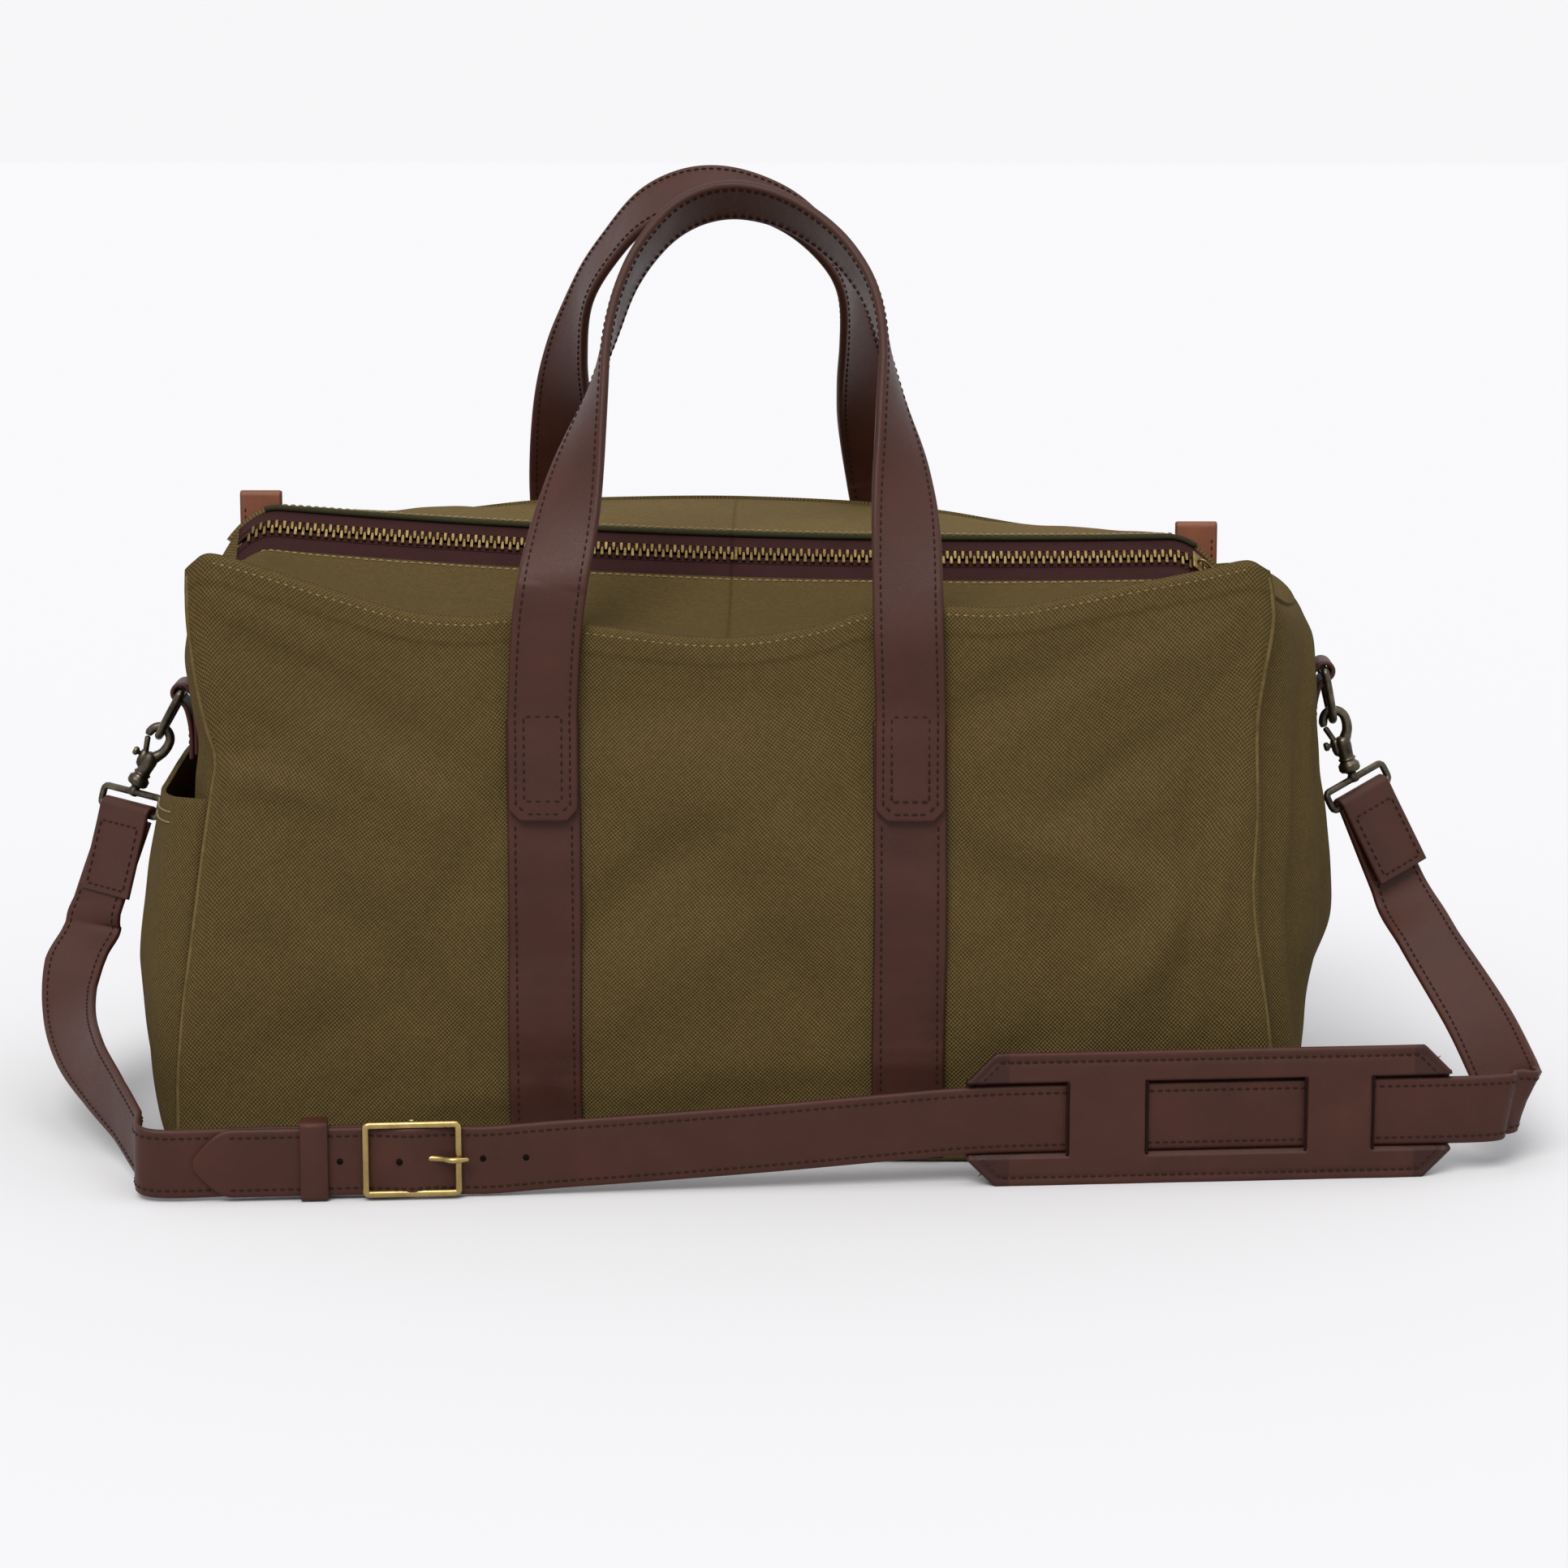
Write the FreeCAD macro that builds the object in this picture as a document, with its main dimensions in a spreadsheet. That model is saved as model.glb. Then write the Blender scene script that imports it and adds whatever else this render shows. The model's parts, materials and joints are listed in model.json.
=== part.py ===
"""Canvas duffel bag with leather handles, a zip and a clip-on shoulder strap.

Frame: millimetres, +Z up, origin on the floor at the middle of the base.
+X runs to the right along the bag's length, -Y is the front.
"""

import FreeCAD, Part

import math
import os

import Sketcher

from FreeCAD import Placement, Rotation, Vector

DOC = FreeCAD.newDocument("duffel")
SHEET = DOC.addObject("Spreadsheet::Sheet", "Sizes")

# Driving dimensions: (alias, value in mm or degrees)
SIZES = (
    ("bag_depth", 240.0),
    ("bag_tall", 262.0),
    ("front_sag", 24.0),
    ("half_top", 234.0),
    ("half_base", 247.0),
    ("canvas", 3.0),
    ("leather", 2.5),
    ("board", 3.0),
    ("strap_wide", 32.0),
    ("handle_thick", 3.6),
    ("handle_spread", 80.0),
    ("hinge_height", 205.0),
    ("tab_low", 156.0),
    ("lower_strap_top", 198.0),
    ("apex_gap", 22.0),
    ("front_bend", 258.0),
    ("back_bend", 276.0),
    ("left_crown", 256.0),
    ("right_crown", 274.0),
    ("pocket_crown", 270.0),
    ("pocket_tall", 160.0),
    ("pocket_half", 110.0),
    ("zip_height", 255.5),
    ("zip_slope", 1.95),
    ("zip_tilt", 45.0),
    ("tape_reach", 11.0),
    ("tape_thick", 0.8),
    ("tooth_pitch", 3.5),
    ("teeth_left", 214.0),
    ("teeth_right", 206.0),
    ("slider_length", 13.0),
    ("slider_wide", 9.0),
    ("slider_at", 216.0),
    ("pull_length", 24.0),
    ("ring_wire", 1.8),
    ("ring_reach", 24.5),
    ("ring_bar", 22.0),
    ("chape_wide", 18.0),
    ("hook_wire", 2.0),
    ("floor_strap", 3.0),
    ("pad_length", 200.0),
    ("pad_tall", 56.0),
    ("buckle_long", 43.0),
    ("buckle_tall", 38.0),
    ("keeper_wide", 12.0),
)


def fill_sheet():
    """Write every driving dimension to the sheet under its alias."""
    for row, (alias, value) in enumerate(SIZES, start=1):
        SHEET.set("A%d" % row, alias)
        SHEET.set("B%d" % row, str(value))
        SHEET.setAlias("B%d" % row, alias)
    DOC.recompute()


def size(alias):
    """A driving dimension's number."""
    return float(getattr(SHEET, alias))


def bind(target, **expressions):
    """Bind an object's properties to expressions over the sheet; x, y, z are its place."""
    places = {"x": ".Placement.Base.x", "y": ".Placement.Base.y", "z": ".Placement.Base.z"}
    for name, expression in expressions.items():
        target.setExpression(places.get(name, name), expression)


def named(kind, label):
    """A new object of the document with a Label of its own."""
    made = DOC.addObject(kind, label)
    made.Label = label
    return made


PARTS = []


def keep(target):
    """Count an object as one of the bag's pieces."""
    PARTS.append(target)
    return target


def shaped(label, shape, place=None):
    """A piece whose shape comes from Part's own functions."""
    piece = named("Part::Feature", label)
    piece.Shape = shape
    if place is not None:
        piece.Placement = place
    return keep(piece)


def block(label, **expressions):
    """A rectangular piece bound to the sheet."""
    piece = named("Part::Box", label)
    bind(piece, **expressions)
    return piece


def plane_of(body, role):
    """One of a body's own origin planes."""
    return next(f for f in body.Origin.OriginFeatures if f.Role == role)


def closed_sketch(body, role, corners):
    """A closed polygon on an origin plane, each corner held to sheet expressions.

    A corner is (across, up, across expression, up expression)."""
    sketch = body.newObject("Sketcher::SketchObject", body.Label + "_outline")
    sketch.AttachmentSupport = (plane_of(body, role), "")
    sketch.MapMode = "FlatFace"
    ends = [Vector(c[0], c[1], 0) for c in corners]
    for i, start in enumerate(ends):
        sketch.addGeometry(Part.LineSegment(start, ends[(i + 1) % len(ends)]), False)
    for i in range(len(ends)):
        sketch.addConstraint(Sketcher.Constraint("Coincident", i, 2, (i + 1) % len(ends), 1))
    for i, (across, up, across_text, up_text) in enumerate(corners):
        for kind, value, text in (("DistanceX", across, across_text), ("DistanceY", up, up_text)):
            index = sketch.addConstraint(Sketcher.Constraint(kind, -1, 1, i, 1, value))
            sketch.setExpression("Constraints[%d]" % index, text)
    return sketch


def sheet_body(label, role, corners, thickness, offset):
    """A flat panel: a polygon on an origin plane, padded by thickness and set off from it."""
    body = named("PartDesign::Body", label)
    sketch = closed_sketch(body, role, corners)
    pad = body.newObject("PartDesign::Pad", label + "_pad")
    pad.Profile = sketch
    pad.setExpression("Length", thickness)
    body.setExpression(offset[0], offset[1])
    return keep(body)


def crescent(outer, inner, half, height, edge):
    """A closed wire in plan: an outer arc and an inner arc that meet two short end lines.

    outer and inner are (edge x, crown x), both on the side that edge's sign gives."""
    def arc(ends_x, crown_x, reach):
        return Part.Arc(
            Vector(edge * ends_x, -reach, height),
            Vector(edge * crown_x, 0, height),
            Vector(edge * ends_x, reach, height),
        ).toShape()

    first = arc(outer[0], outer[1], half)
    second = arc(inner[0], inner[1], half)
    low = Part.makeLine(Vector(edge * outer[0], -half, height), Vector(edge * inner[0], -half, height))
    high = Part.makeLine(Vector(edge * outer[0], half, height), Vector(edge * inner[0], half, height))
    return Part.Wire(Part.__sortEdges__([first, high, second, low]))


def bulged(levels, half, thickness, edge):
    """A bulged end sheet: a loft through crescents at (height, edge x, crown x)."""
    wires = [
        crescent((at, crown), (at - thickness, crown - thickness), half, height, edge)
        for height, at, crown in levels
    ]
    return Part.makeLoft(wires, True, True)


def end_levels(crown):
    """(height, edge x, crown x) of an end panel's outside, from the base up."""
    low, tall = size("canvas") + 0.1, size("bag_tall")
    return (
        (low, size("half_base"), crown - 8),
        (0.4 * tall, size("half_top") + 5, crown),
        (tall, size("half_top"), crown - 17),
    )


def make_panels():
    """The canvas shell: front, back, ends, base, top gussets, board and lining."""
    depth, sag = size("bag_depth"), size("front_sag")
    tall, base, top = size("bag_tall"), size("half_base"), size("half_top")
    low = size("canvas") + 0.1
    low_text = "Sizes.canvas + 0.1"
    for label, offset in (
        ("front_panel", "-Sizes.bag_depth / 2 + Sizes.canvas"),
        ("back_panel", "Sizes.bag_depth / 2"),
    ):
        dip = sag if label == "front_panel" else 0.25 * sag
        dip_text = "Sizes.front_sag" if label == "front_panel" else "0.25 * Sizes.front_sag"
        corners = (
            (-base, low, "-Sizes.half_base", low_text),
            (base, low, "Sizes.half_base", low_text),
            (top, tall, "Sizes.half_top", "Sizes.bag_tall"),
            (0.45 * top, tall - 0.8 * dip, "0.45 * Sizes.half_top", "Sizes.bag_tall - 0.8 * " + dip_text),
            (0, tall - dip, "0", "Sizes.bag_tall - " + dip_text),
            (-0.45 * top, tall - 0.8 * dip, "-0.45 * Sizes.half_top", "Sizes.bag_tall - 0.8 * " + dip_text),
            (-top, tall, "-Sizes.half_top", "Sizes.bag_tall"),
        )
        sheet_body(label, "XZ_Plane", corners, "Sizes.canvas", (".Placement.Base.y", offset))
    half = depth / 2 - size("canvas") - 0.1
    for side, edge in (("left", -1), ("right", 1)):
        shape = bulged(end_levels(size(side + "_crown")), half, size("canvas"), edge)
        shaped("end_panel_" + side, shape)
    make_base()
    # Short canvas shelves between the zip's ends and the end panels.
    for side, length, start in (
        ("left", "18", "-Sizes.half_top + 2"),
        ("right", "Sizes.half_top - Sizes.slider_at - 6", "Sizes.slider_at + 10"),
    ):
        keep(block(
            "top_gusset_" + side,
            Length=length, Width="Sizes.bag_depth - 60", Height="Sizes.canvas",
            x=start, y="-Sizes.bag_depth / 2 + 30", z="Sizes.zip_height - 25",
        ))
    keep(block(
        "base_board",
        Length="2 * Sizes.half_top - 10", Width="Sizes.bag_depth - 20", Height="Sizes.board",
        x="-Sizes.half_top + 5", y="-Sizes.bag_depth / 2 + 10", z="Sizes.canvas + 0.3",
    ))
    make_lining()


def make_base():
    """The base: a canvas plate with bulged ends that the bag stands on."""
    half = size("bag_depth") / 2
    ends = size("half_base")
    left = Part.Arc(
        Vector(-ends, half, 0), Vector(8 - size("left_crown"), 0, 0), Vector(-ends, -half, 0)
    ).toShape()
    right = Part.Arc(
        Vector(ends, -half, 0), Vector(size("right_crown") - 8, 0, 0), Vector(ends, half, 0)
    ).toShape()
    front = Part.makeLine(Vector(-ends, -half, 0), Vector(ends, -half, 0))
    back = Part.makeLine(Vector(ends, half, 0), Vector(-ends, half, 0))
    outline = Part.Wire([left, front, right, back])
    shaped("base_panel", Part.Face(outline).extrude(Vector(0, 0, size("canvas"))))


def make_lining():
    """The lining: a thin open bag just inside the canvas."""
    skin = 1.0
    outer = named("Part::Box", "lining_outside")
    inner = named("Part::Box", "lining_inside")
    bind(
        outer,
        Length="2 * Sizes.half_top - 8", Width="Sizes.bag_depth - 2 * Sizes.canvas - 2",
        Height="Sizes.zip_height - 35",
        x="-Sizes.half_top + 4", y="-Sizes.bag_depth / 2 + Sizes.canvas + 1",
        z="Sizes.canvas + Sizes.board + 0.6",
    )
    bind(
        inner,
        Length="2 * Sizes.half_top - 10", Width="Sizes.bag_depth - 2 * Sizes.canvas - 4",
        Height="Sizes.zip_height",
        x="-Sizes.half_top + 5", y="-Sizes.bag_depth / 2 + Sizes.canvas + 2",
        z="Sizes.canvas + Sizes.board + 0.6 + %s" % skin,
    )
    lining = named("Part::Cut", "lining")
    lining.Base = outer
    lining.Tool = inner
    keep(lining)


def make_pocket():
    """The open-topped pouch on the left end."""
    wall, half, gap = size("leather"), size("pocket_half"), 0.4
    crown, tall = size("pocket_crown"), size("pocket_tall")
    low = size("canvas") + 1.0
    panel = end_levels(size("left_crown"))

    def panel_at(height):
        """The end panel's crown at a height, between its levels."""
        for (z0, _, c0), (z1, _, c1) in zip(panel, panel[1:]):
            if height <= z1:
                return c0 + (c1 - c0) * max(0.0, height - z0) / (z1 - z0)
        return panel[-1][2]

    edge_x = size("half_base") + 4.5
    outside, hollow = [], []
    for height, out in ((low, crown - 6), (0.5 * tall, crown), (tall, crown - 11)):
        behind = panel_at(height) + gap
        outside.append(crescent((edge_x + 2, out), (edge_x, behind + 1), half, height, -1))
        hollow.append(crescent(
            (edge_x + 1, out - wall), (edge_x - 8, behind - 12), half - 5,
            max(height, low + 3.0) + (4 if height == tall else 0), -1,
        ))
    body = Part.makeLoft(outside, True, True)
    cavity = Part.makeLoft(hollow, True, True)
    clear = bulged(
        [(z - 5 if i == 0 else z + (5 if i == 2 else 0), e + gap, c + gap)
         for i, (z, e, c) in enumerate(panel)],
        half + 20, 40, -1,
    )
    shaped("side_pocket", body.cut(cavity).cut(clear))


def make_straps():
    """The leather straps sewn down each face and the handles' sewn ends."""
    for face, sign in (("front", -1), ("back", 1)):
        for side, edge in (("left", -1), ("right", 1)):
            keep(block(
                "%s_strap_%s" % (face, side),
                Length="Sizes.strap_wide", Width="Sizes.leather",
                Height="Sizes.lower_strap_top - 1",
                x="%d * Sizes.handle_spread - Sizes.strap_wide / 2" % edge,
                y="-Sizes.bag_depth / 2 - 0.1 - Sizes.leather" if sign < 0 else "Sizes.bag_depth / 2 + 0.1",
                z="1",
            ))
            make_handle_end("%s_handle_end_%s" % (face, side), sign, edge)


def make_handle_end(label, sign, edge):
    """The sewn end of a handle: a leather tab with clipped lower corners."""
    middle, half = edge * size("handle_spread"), size("strap_wide") / 2
    low, high, clip = size("tab_low"), size("hinge_height") - 2.4, 6.0
    middle_text = "%d * Sizes.handle_spread" % edge
    corners = []
    for across, up, up_text in (
        (-half + clip, low, "Sizes.tab_low"),
        (half - clip, low, "Sizes.tab_low"),
        (half, low + clip, "Sizes.tab_low + %s" % clip),
        (half, high, "Sizes.hinge_height - 2.4"),
        (-half, high, "Sizes.hinge_height - 2.4"),
        (-half, low + clip, "Sizes.tab_low + %s" % clip),
    ):
        inset = clip if abs(across) < half else 0.0
        turn = "+" if across > 0 else "-"
        text = "%s %s (Sizes.strap_wide / 2 - %s)" % (middle_text, turn, inset)
        corners.append((middle + across, up, text, up_text))
    offset = (
        "-Sizes.bag_depth / 2 - 0.2 - Sizes.leather"
        if sign < 0
        else "Sizes.bag_depth / 2 + 0.2 + 2 * Sizes.leather"
    )
    sheet_body(label, "XZ_Plane", corners, "Sizes.leather", (".Placement.Base.y", offset))


def ribbon(points, widths, wide, thick):
    """A flat strap: a ruled loft of rectangles centred on points, wide along each width vector."""
    wires = []
    count = len(points)
    for i, (point, width) in enumerate(zip(points, widths)):
        along = points[min(i + 1, count - 1)] - points[max(i - 1, 0)]
        along.normalize()
        across = Vector(width) - along * width.dot(along)
        across.normalize()
        face = along.cross(across)
        corners = [
            point + across * (a * wide / 2) + face * (b * thick / 2)
            for a, b in ((-1, -1), (1, -1), (1, 1), (-1, 1))
        ]
        wires.append(Part.makePolygon(corners + corners[:1]))
    return Part.makeLoft(wires, True, True)


# Handle centre lines seen from the front: (across, height).
FRONT_LOOP = (
    (-80, 206), (-78, 240), (-75, 262), (-71, 282), (-65, 312), (-59, 337), (-53, 362), (-44, 387),
    (-31, 405), (-17, 415), (-1, 419), (16, 417), (33, 410), (49, 398), (60, 384), (66, 370),
    (70, 353), (73, 332), (76, 310), (78, 279), (79, 240), (80, 206),
)
BACK_LOOP = (
    (-80, 206), (-82, 235), (-86, 267), (-84, 304), (-81, 331), (-77, 350), (-69, 375), (-57, 394),
    (-43, 410), (-27, 419), (-10, 422), (8, 419), (27, 410), (42, 396), (51, 380), (56, 356), (59, 336), (64, 304),
    (70, 267), (77, 235), (80, 206),
)


def make_handle(label, loop, sign):
    """A leather carrying handle: legs that twist a quarter turn, left and right alike, into an arch."""
    outside = size("bag_depth") / 2 + 0.4 + 1.5 * size("leather") + 0.2
    bend = size("front_bend" if sign < 0 else "back_bend")
    apex = max(height for _, height in loop)
    points, widths = [], []
    for across, height in loop:
        lean = max(0.0, (height - bend) / (apex - bend))
        points.append(Vector(across, sign * (outside - lean * (outside - size("apex_gap"))), height))
    for i, point in enumerate(points):
        along = points[min(i + 1, len(points) - 1)] - points[max(i - 1, 0)]
        along.normalize()
        slope = Vector(0, -sign * (outside - size("apex_gap")), apex - bend)
        if point.z < bend:
            slope = Vector(0, 0, 1)
        normal = Vector(1, 0, 0).cross(slope)
        normal.normalize()
        flat = normal.cross(along)
        flat.normalize()
        share = min(1.0, max(0.0, (point.z - bend + 6) / 124))
        turn = math.radians(90 * share * share * (3 - 2 * share))
        widths.append(flat * math.cos(turn) - normal * math.sin(turn))
    shaped(label, ribbon(points, widths, size("strap_wide"), size("handle_thick")))


def zip_place(turned=True):
    """The zip's frame: x along the zip to the right, y across it from front to back."""
    slope = Rotation(Vector(0, 1, 0), size("zip_slope"))
    tilt = Rotation(Vector(1, 0, 0), size("zip_tilt") if turned else 0)
    return Placement(Vector(0, 0, size("zip_height")), slope.multiply(tilt))


def plate(x0, x1, y0, y1, z0, z1):
    """A box between two corners."""
    return Part.makeBox(x1 - x0, y1 - y0, z1 - z0, Vector(x0, y0, z0))


def make_flap(face, sign):
    """Half of the top: canvas flap, its half of the zip tape and its row of teeth."""
    outer = size("bag_depth") / 2 - size("canvas") - 0.8
    inner = 8.6
    thick = size("leather")
    fold = -12.0 if sign < 0 else 12.0
    lip = -9.5 if sign < 0 else 7.0
    start = -size("teeth_left") + 10
    run = size("teeth_right") - 6 - start
    profile = [
        Vector(start, sign * outer, fold),
        Vector(start, sign * inner, lip),
        Vector(start, sign * inner, lip - thick),
        Vector(start, sign * outer, fold - thick),
    ]
    outline = Part.Face(Part.makePolygon(profile + profile[:1]))
    shaped(face + "_flap", outline.extrude(Vector(run, 0, 0)), zip_place(False))
    thickness, reach = size("tape_thick"), size("tape_reach")
    near, far = (1.9, reach) if sign > 0 else (-reach, -1.9)
    left, right = -size("teeth_left") - 4, size("slider_at") + 8
    tape = plate(left, right, near, far, -thickness / 2, thickness / 2)
    shaped("zip_tape_" + face, tape, zip_place())
    shaped("zip_teeth_" + face, comb(sign), zip_place())


def comb(sign):
    """One row of zip teeth as a single comb that meshes with the other row."""
    pitch = size("tooth_pitch")
    tooth, root, tip, tall = 0.42 * pitch, 3.0, 0.9, 1.2
    shift = 0.0 if sign < 0 else pitch / 2
    corners = []
    count = int((size("teeth_left") + size("teeth_right")) / pitch)
    start, low = -size("teeth_left"), size("tape_thick") / 2 + 0.05
    for i in range(count):
        x = start + i * pitch + shift
        corners += [
            Vector(x, sign * 2.0, low), Vector(x, -sign * tip, low),
            Vector(x + tooth, -sign * tip, low), Vector(x + tooth, sign * 2.0, low),
        ]
    corners += [Vector(corners[-1].x, sign * root, low), Vector(corners[0].x, sign * root, low)]
    outline = Part.Face(Part.makePolygon(corners + corners[:1]))
    return outline.extrude(Vector(0, 0, tall))


def make_slider():
    """The zip's slider, with two wing plates on a post, and its pull."""
    long, wide, at = size("slider_length") / 2, size("slider_wide") / 2, size("slider_at")
    top = plate(at - long, at + long, -wide, wide, 2.2, 3.0)
    bottom = plate(at - long, at + long, -wide, wide, -2.6, -1.4)
    post = Part.makeCylinder(1.2, 4.2, Vector(at + long - 2.6, 0, -1.6))
    # The bridge that the pull's pin passes under.
    bridge = [
        plate(at + 1.6, at + 2.8, -1.5, 1.5, 2.9, 4.9),
        plate(at - 4.4, at + 2.8, -1.5, 1.5, 4.2, 4.9),
        plate(at - 4.4, at - 3.2, -1.5, 1.5, 2.9, 4.9),
    ]
    body = top.fuse([bottom, post] + bridge).removeSplitter()
    shaped("zip_slider", body, zip_place())
    pin_at, pin_up = at - 0.8, 3.6
    pin = Part.makeCylinder(0.45, 5.6, Vector(pin_at, -2.8, pin_up), Vector(0, 1, 0))
    cheeks = []
    for side in (-2.8, 1.8):
        cheeks.append(Part.makeCylinder(0.55, 1.0, Vector(pin_at, side, pin_up), Vector(0, 1, 0)))
        cheeks.append(plate(pin_at, at + 4.4, side, side + 1.0, pin_up - 0.45, pin_up + 0.45))
    tab = plate(at + 3.6, at + size("pull_length"), -2.8, 2.8, pin_up - 0.45, pin_up + 0.45)
    pull = pin.fuse(cheeks + [tab]).removeSplitter()
    shaped("zip_pull", pull, zip_place())


def make_zip_tabs():
    """The folded leather tabs at the two ends of the zip."""
    for side, start in (("left", -228.0), ("right", 205.0)):
        rise = 14.0 if side == "left" else 0.0
        # Two layers joined by the fold at the top.
        front = plate(start, start + 19, 12.6, 15.0, 246 + rise, 266 + rise)
        back = plate(start, start + 19, 15.4, 17.8, 246 + rise, 266 + rise)
        fold = plate(start, start + 19, 12.6, 17.8, 264 + rise, 266 + rise)
        shaped("zip_tab_" + side, front.fuse([back, fold]).removeSplitter())


# Each end's hardware: loop centre, then hang directions of ring, hook and strap end.
ENDS = {
    "left": {
        "edge": -1, "loop": Vector(-254.6, 0, 192), "hang": 29.0,
        "eye": Vector(-285.5, 0, 137), "end": Vector(-296, -9, 92), "width": Vector(0.82, -0.57, 0),
    },
    "right": {
        "edge": 1, "loop": Vector(272.8, 0, 203), "hang": 12.0,
        "eye": Vector(288, 0, 145), "end": Vector(310, -6, 101), "width": Vector(0.55, -0.83, 0.1),
    },
}


def make_chape(side, end):
    """The leather loop sewn to the end panel that holds the ring's bar."""
    wide, wall = size("chape_wide"), 2.2
    hole = size("ring_wire") + 1.0
    loop, edge = end["loop"], end["edge"]
    base = Vector(loop.x, -wide / 2, loop.z)
    outer = Part.makeCylinder(hole + wall, wide, base, Vector(0, 1, 0))
    inner = Part.makeCylinder(hole, wide + 2, base - Vector(0, 1, 0), Vector(0, 1, 0))
    x0 = loop.x - edge * (hole + wall)
    tail = plate(min(x0, x0 + edge * wall), max(x0, x0 + edge * wall),
                 -wide / 2, wide / 2, loop.z - 26, loop.z)
    shaped("chape_" + side, outer.fuse(tail).cut(inner).removeSplitter())


def rod(points, radius):
    """A round wire along straight runs, with balls at its bends."""
    made = None
    for a, b in zip(points, points[1:]):
        run = b - a
        piece = Part.makeCylinder(radius, run.Length, a, run)
        made = piece if made is None else made.fuse(piece)
    for bend in points[1:-1]:
        made = made.fuse(Part.makeSphere(radius + 0.08, bend))
    return made.removeSplitter()


def bow(start, middle, stop, radius):
    """A round wire bent to a circular arc."""
    path = Part.Arc(start, middle, stop)
    edge = path.toShape()
    along = path.tangent(path.FirstParameter)[0]
    section = Part.Wire(Part.makeCircle(radius, start, along))
    return Part.Wire([edge]).makePipe(Part.Face(section))


def make_ring(side, end):
    """The D-shaped ring: a straight bar through the leather loop and a half-round bow."""
    wire, half, reach = size("ring_wire"), size("ring_bar") / 2, size("ring_reach")
    angle = math.radians(end["hang"])
    down = Vector(end["edge"] * math.sin(angle), 0, -math.cos(angle))
    loop = end["loop"]
    left, right = loop - Vector(0, half, 0), loop + Vector(0, half, 0)
    arch = bow(left, loop + down * reach, right, wire)
    bar = Part.makeCylinder(wire, 2 * half, left, Vector(0, 1, 0))
    ends = [Part.makeSphere(wire + 0.12, left), Part.makeSphere(wire + 0.12, right)]
    shaped("ring_" + side, bar.fuse([arch] + ends).removeSplitter())
    return loop + down * reach, down


def make_hook(side, end, low, down):
    """The snap hook: a bow round the ring, a body, a collar, its sliding bolt and its eye."""
    wire = size("hook_wire")
    eye = end["eye"]
    # The bow stands across the ring, so it lies in the plane of the hang.
    run = eye - low
    run.normalize()
    aside = Vector(0, 1, 0).cross(run)
    aside.normalize()
    inner = 5.6
    centre = low + run * 1.4
    arch = bow(centre + aside * inner, centre - run * inner, centre - aside * inner, wire)
    stem = rod([centre - aside * inner, centre - aside * inner + run * 9], wire)
    stop_ball = Part.makeSphere(wire + 0.12, centre - aside * inner)
    lip = Part.makeSphere(wire + 0.12, centre + aside * inner)
    body_low = centre + run * 8
    barrel = Part.makeCylinder(3.4, 13, body_low - aside * 2.0, run)
    neck = rod([body_low - aside * inner, body_low - aside * 2.0], wire)
    collar = Part.makeCylinder(4.6, 3.2, body_low + run * 13.0 - aside * 2.0, run)
    shaped("hook_" + side, arch.fuse([stem, stop_ball, lip, barrel, neck, collar]).removeSplitter())
    bolt = Part.makeCylinder(1.3, 6.4, centre + aside * (inner + 0.2) + run * 2.6, run)
    knob = Part.makeCylinder(1.5, 4.2, centre + aside * (inner - 1.0) + run * 7.6, aside)
    shaped("bolt_" + side, bolt.fuse(knob).removeSplitter())
    # The swivelling eye: a post under the collar and a rectangular wire loop.
    post_top = body_low + run * 17.0 - aside * 2.0
    width = Vector(end["width"])
    width.normalize()
    along = end["end"] - eye
    along.normalize()
    width = (width - along * width.dot(along))
    width.normalize()
    half = size("strap_wide") / 2 + 2.5
    shoulder = post_top + run * 3.0
    corners = [
        shoulder - width * half, shoulder - width * half + along * 9.0,
        shoulder + width * half + along * 9.0, shoulder + width * half, shoulder - width * half,
    ]
    loop = rod(corners, 1.5)
    loop = loop.fuse(Part.makeSphere(1.58, corners[0]))
    post = Part.makeCylinder(2.0, 3.0, post_top, run)
    shaped("eye_" + side, loop.fuse(post).removeSplitter())
    # The strap's end, folded round the eye's lower bar and sewn to itself.
    bar = shoulder + along * 9.0
    start = bar + along * 3.3
    fold = ribbon(
        [start, start + (end["end"] - start) * 0.5, end["end"]], [width] * 3,
        size("strap_wide"), 2 * size("leather"),
    )
    shaped("strap_end_" + side, fold)
    return width


def floor_frame():
    """The line that the strap follows on the floor in front of the bag, and its upright."""
    return Placement(Vector(-135, -176, 16.6), Rotation(Vector(0, 0, 1), 5.2))


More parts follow.
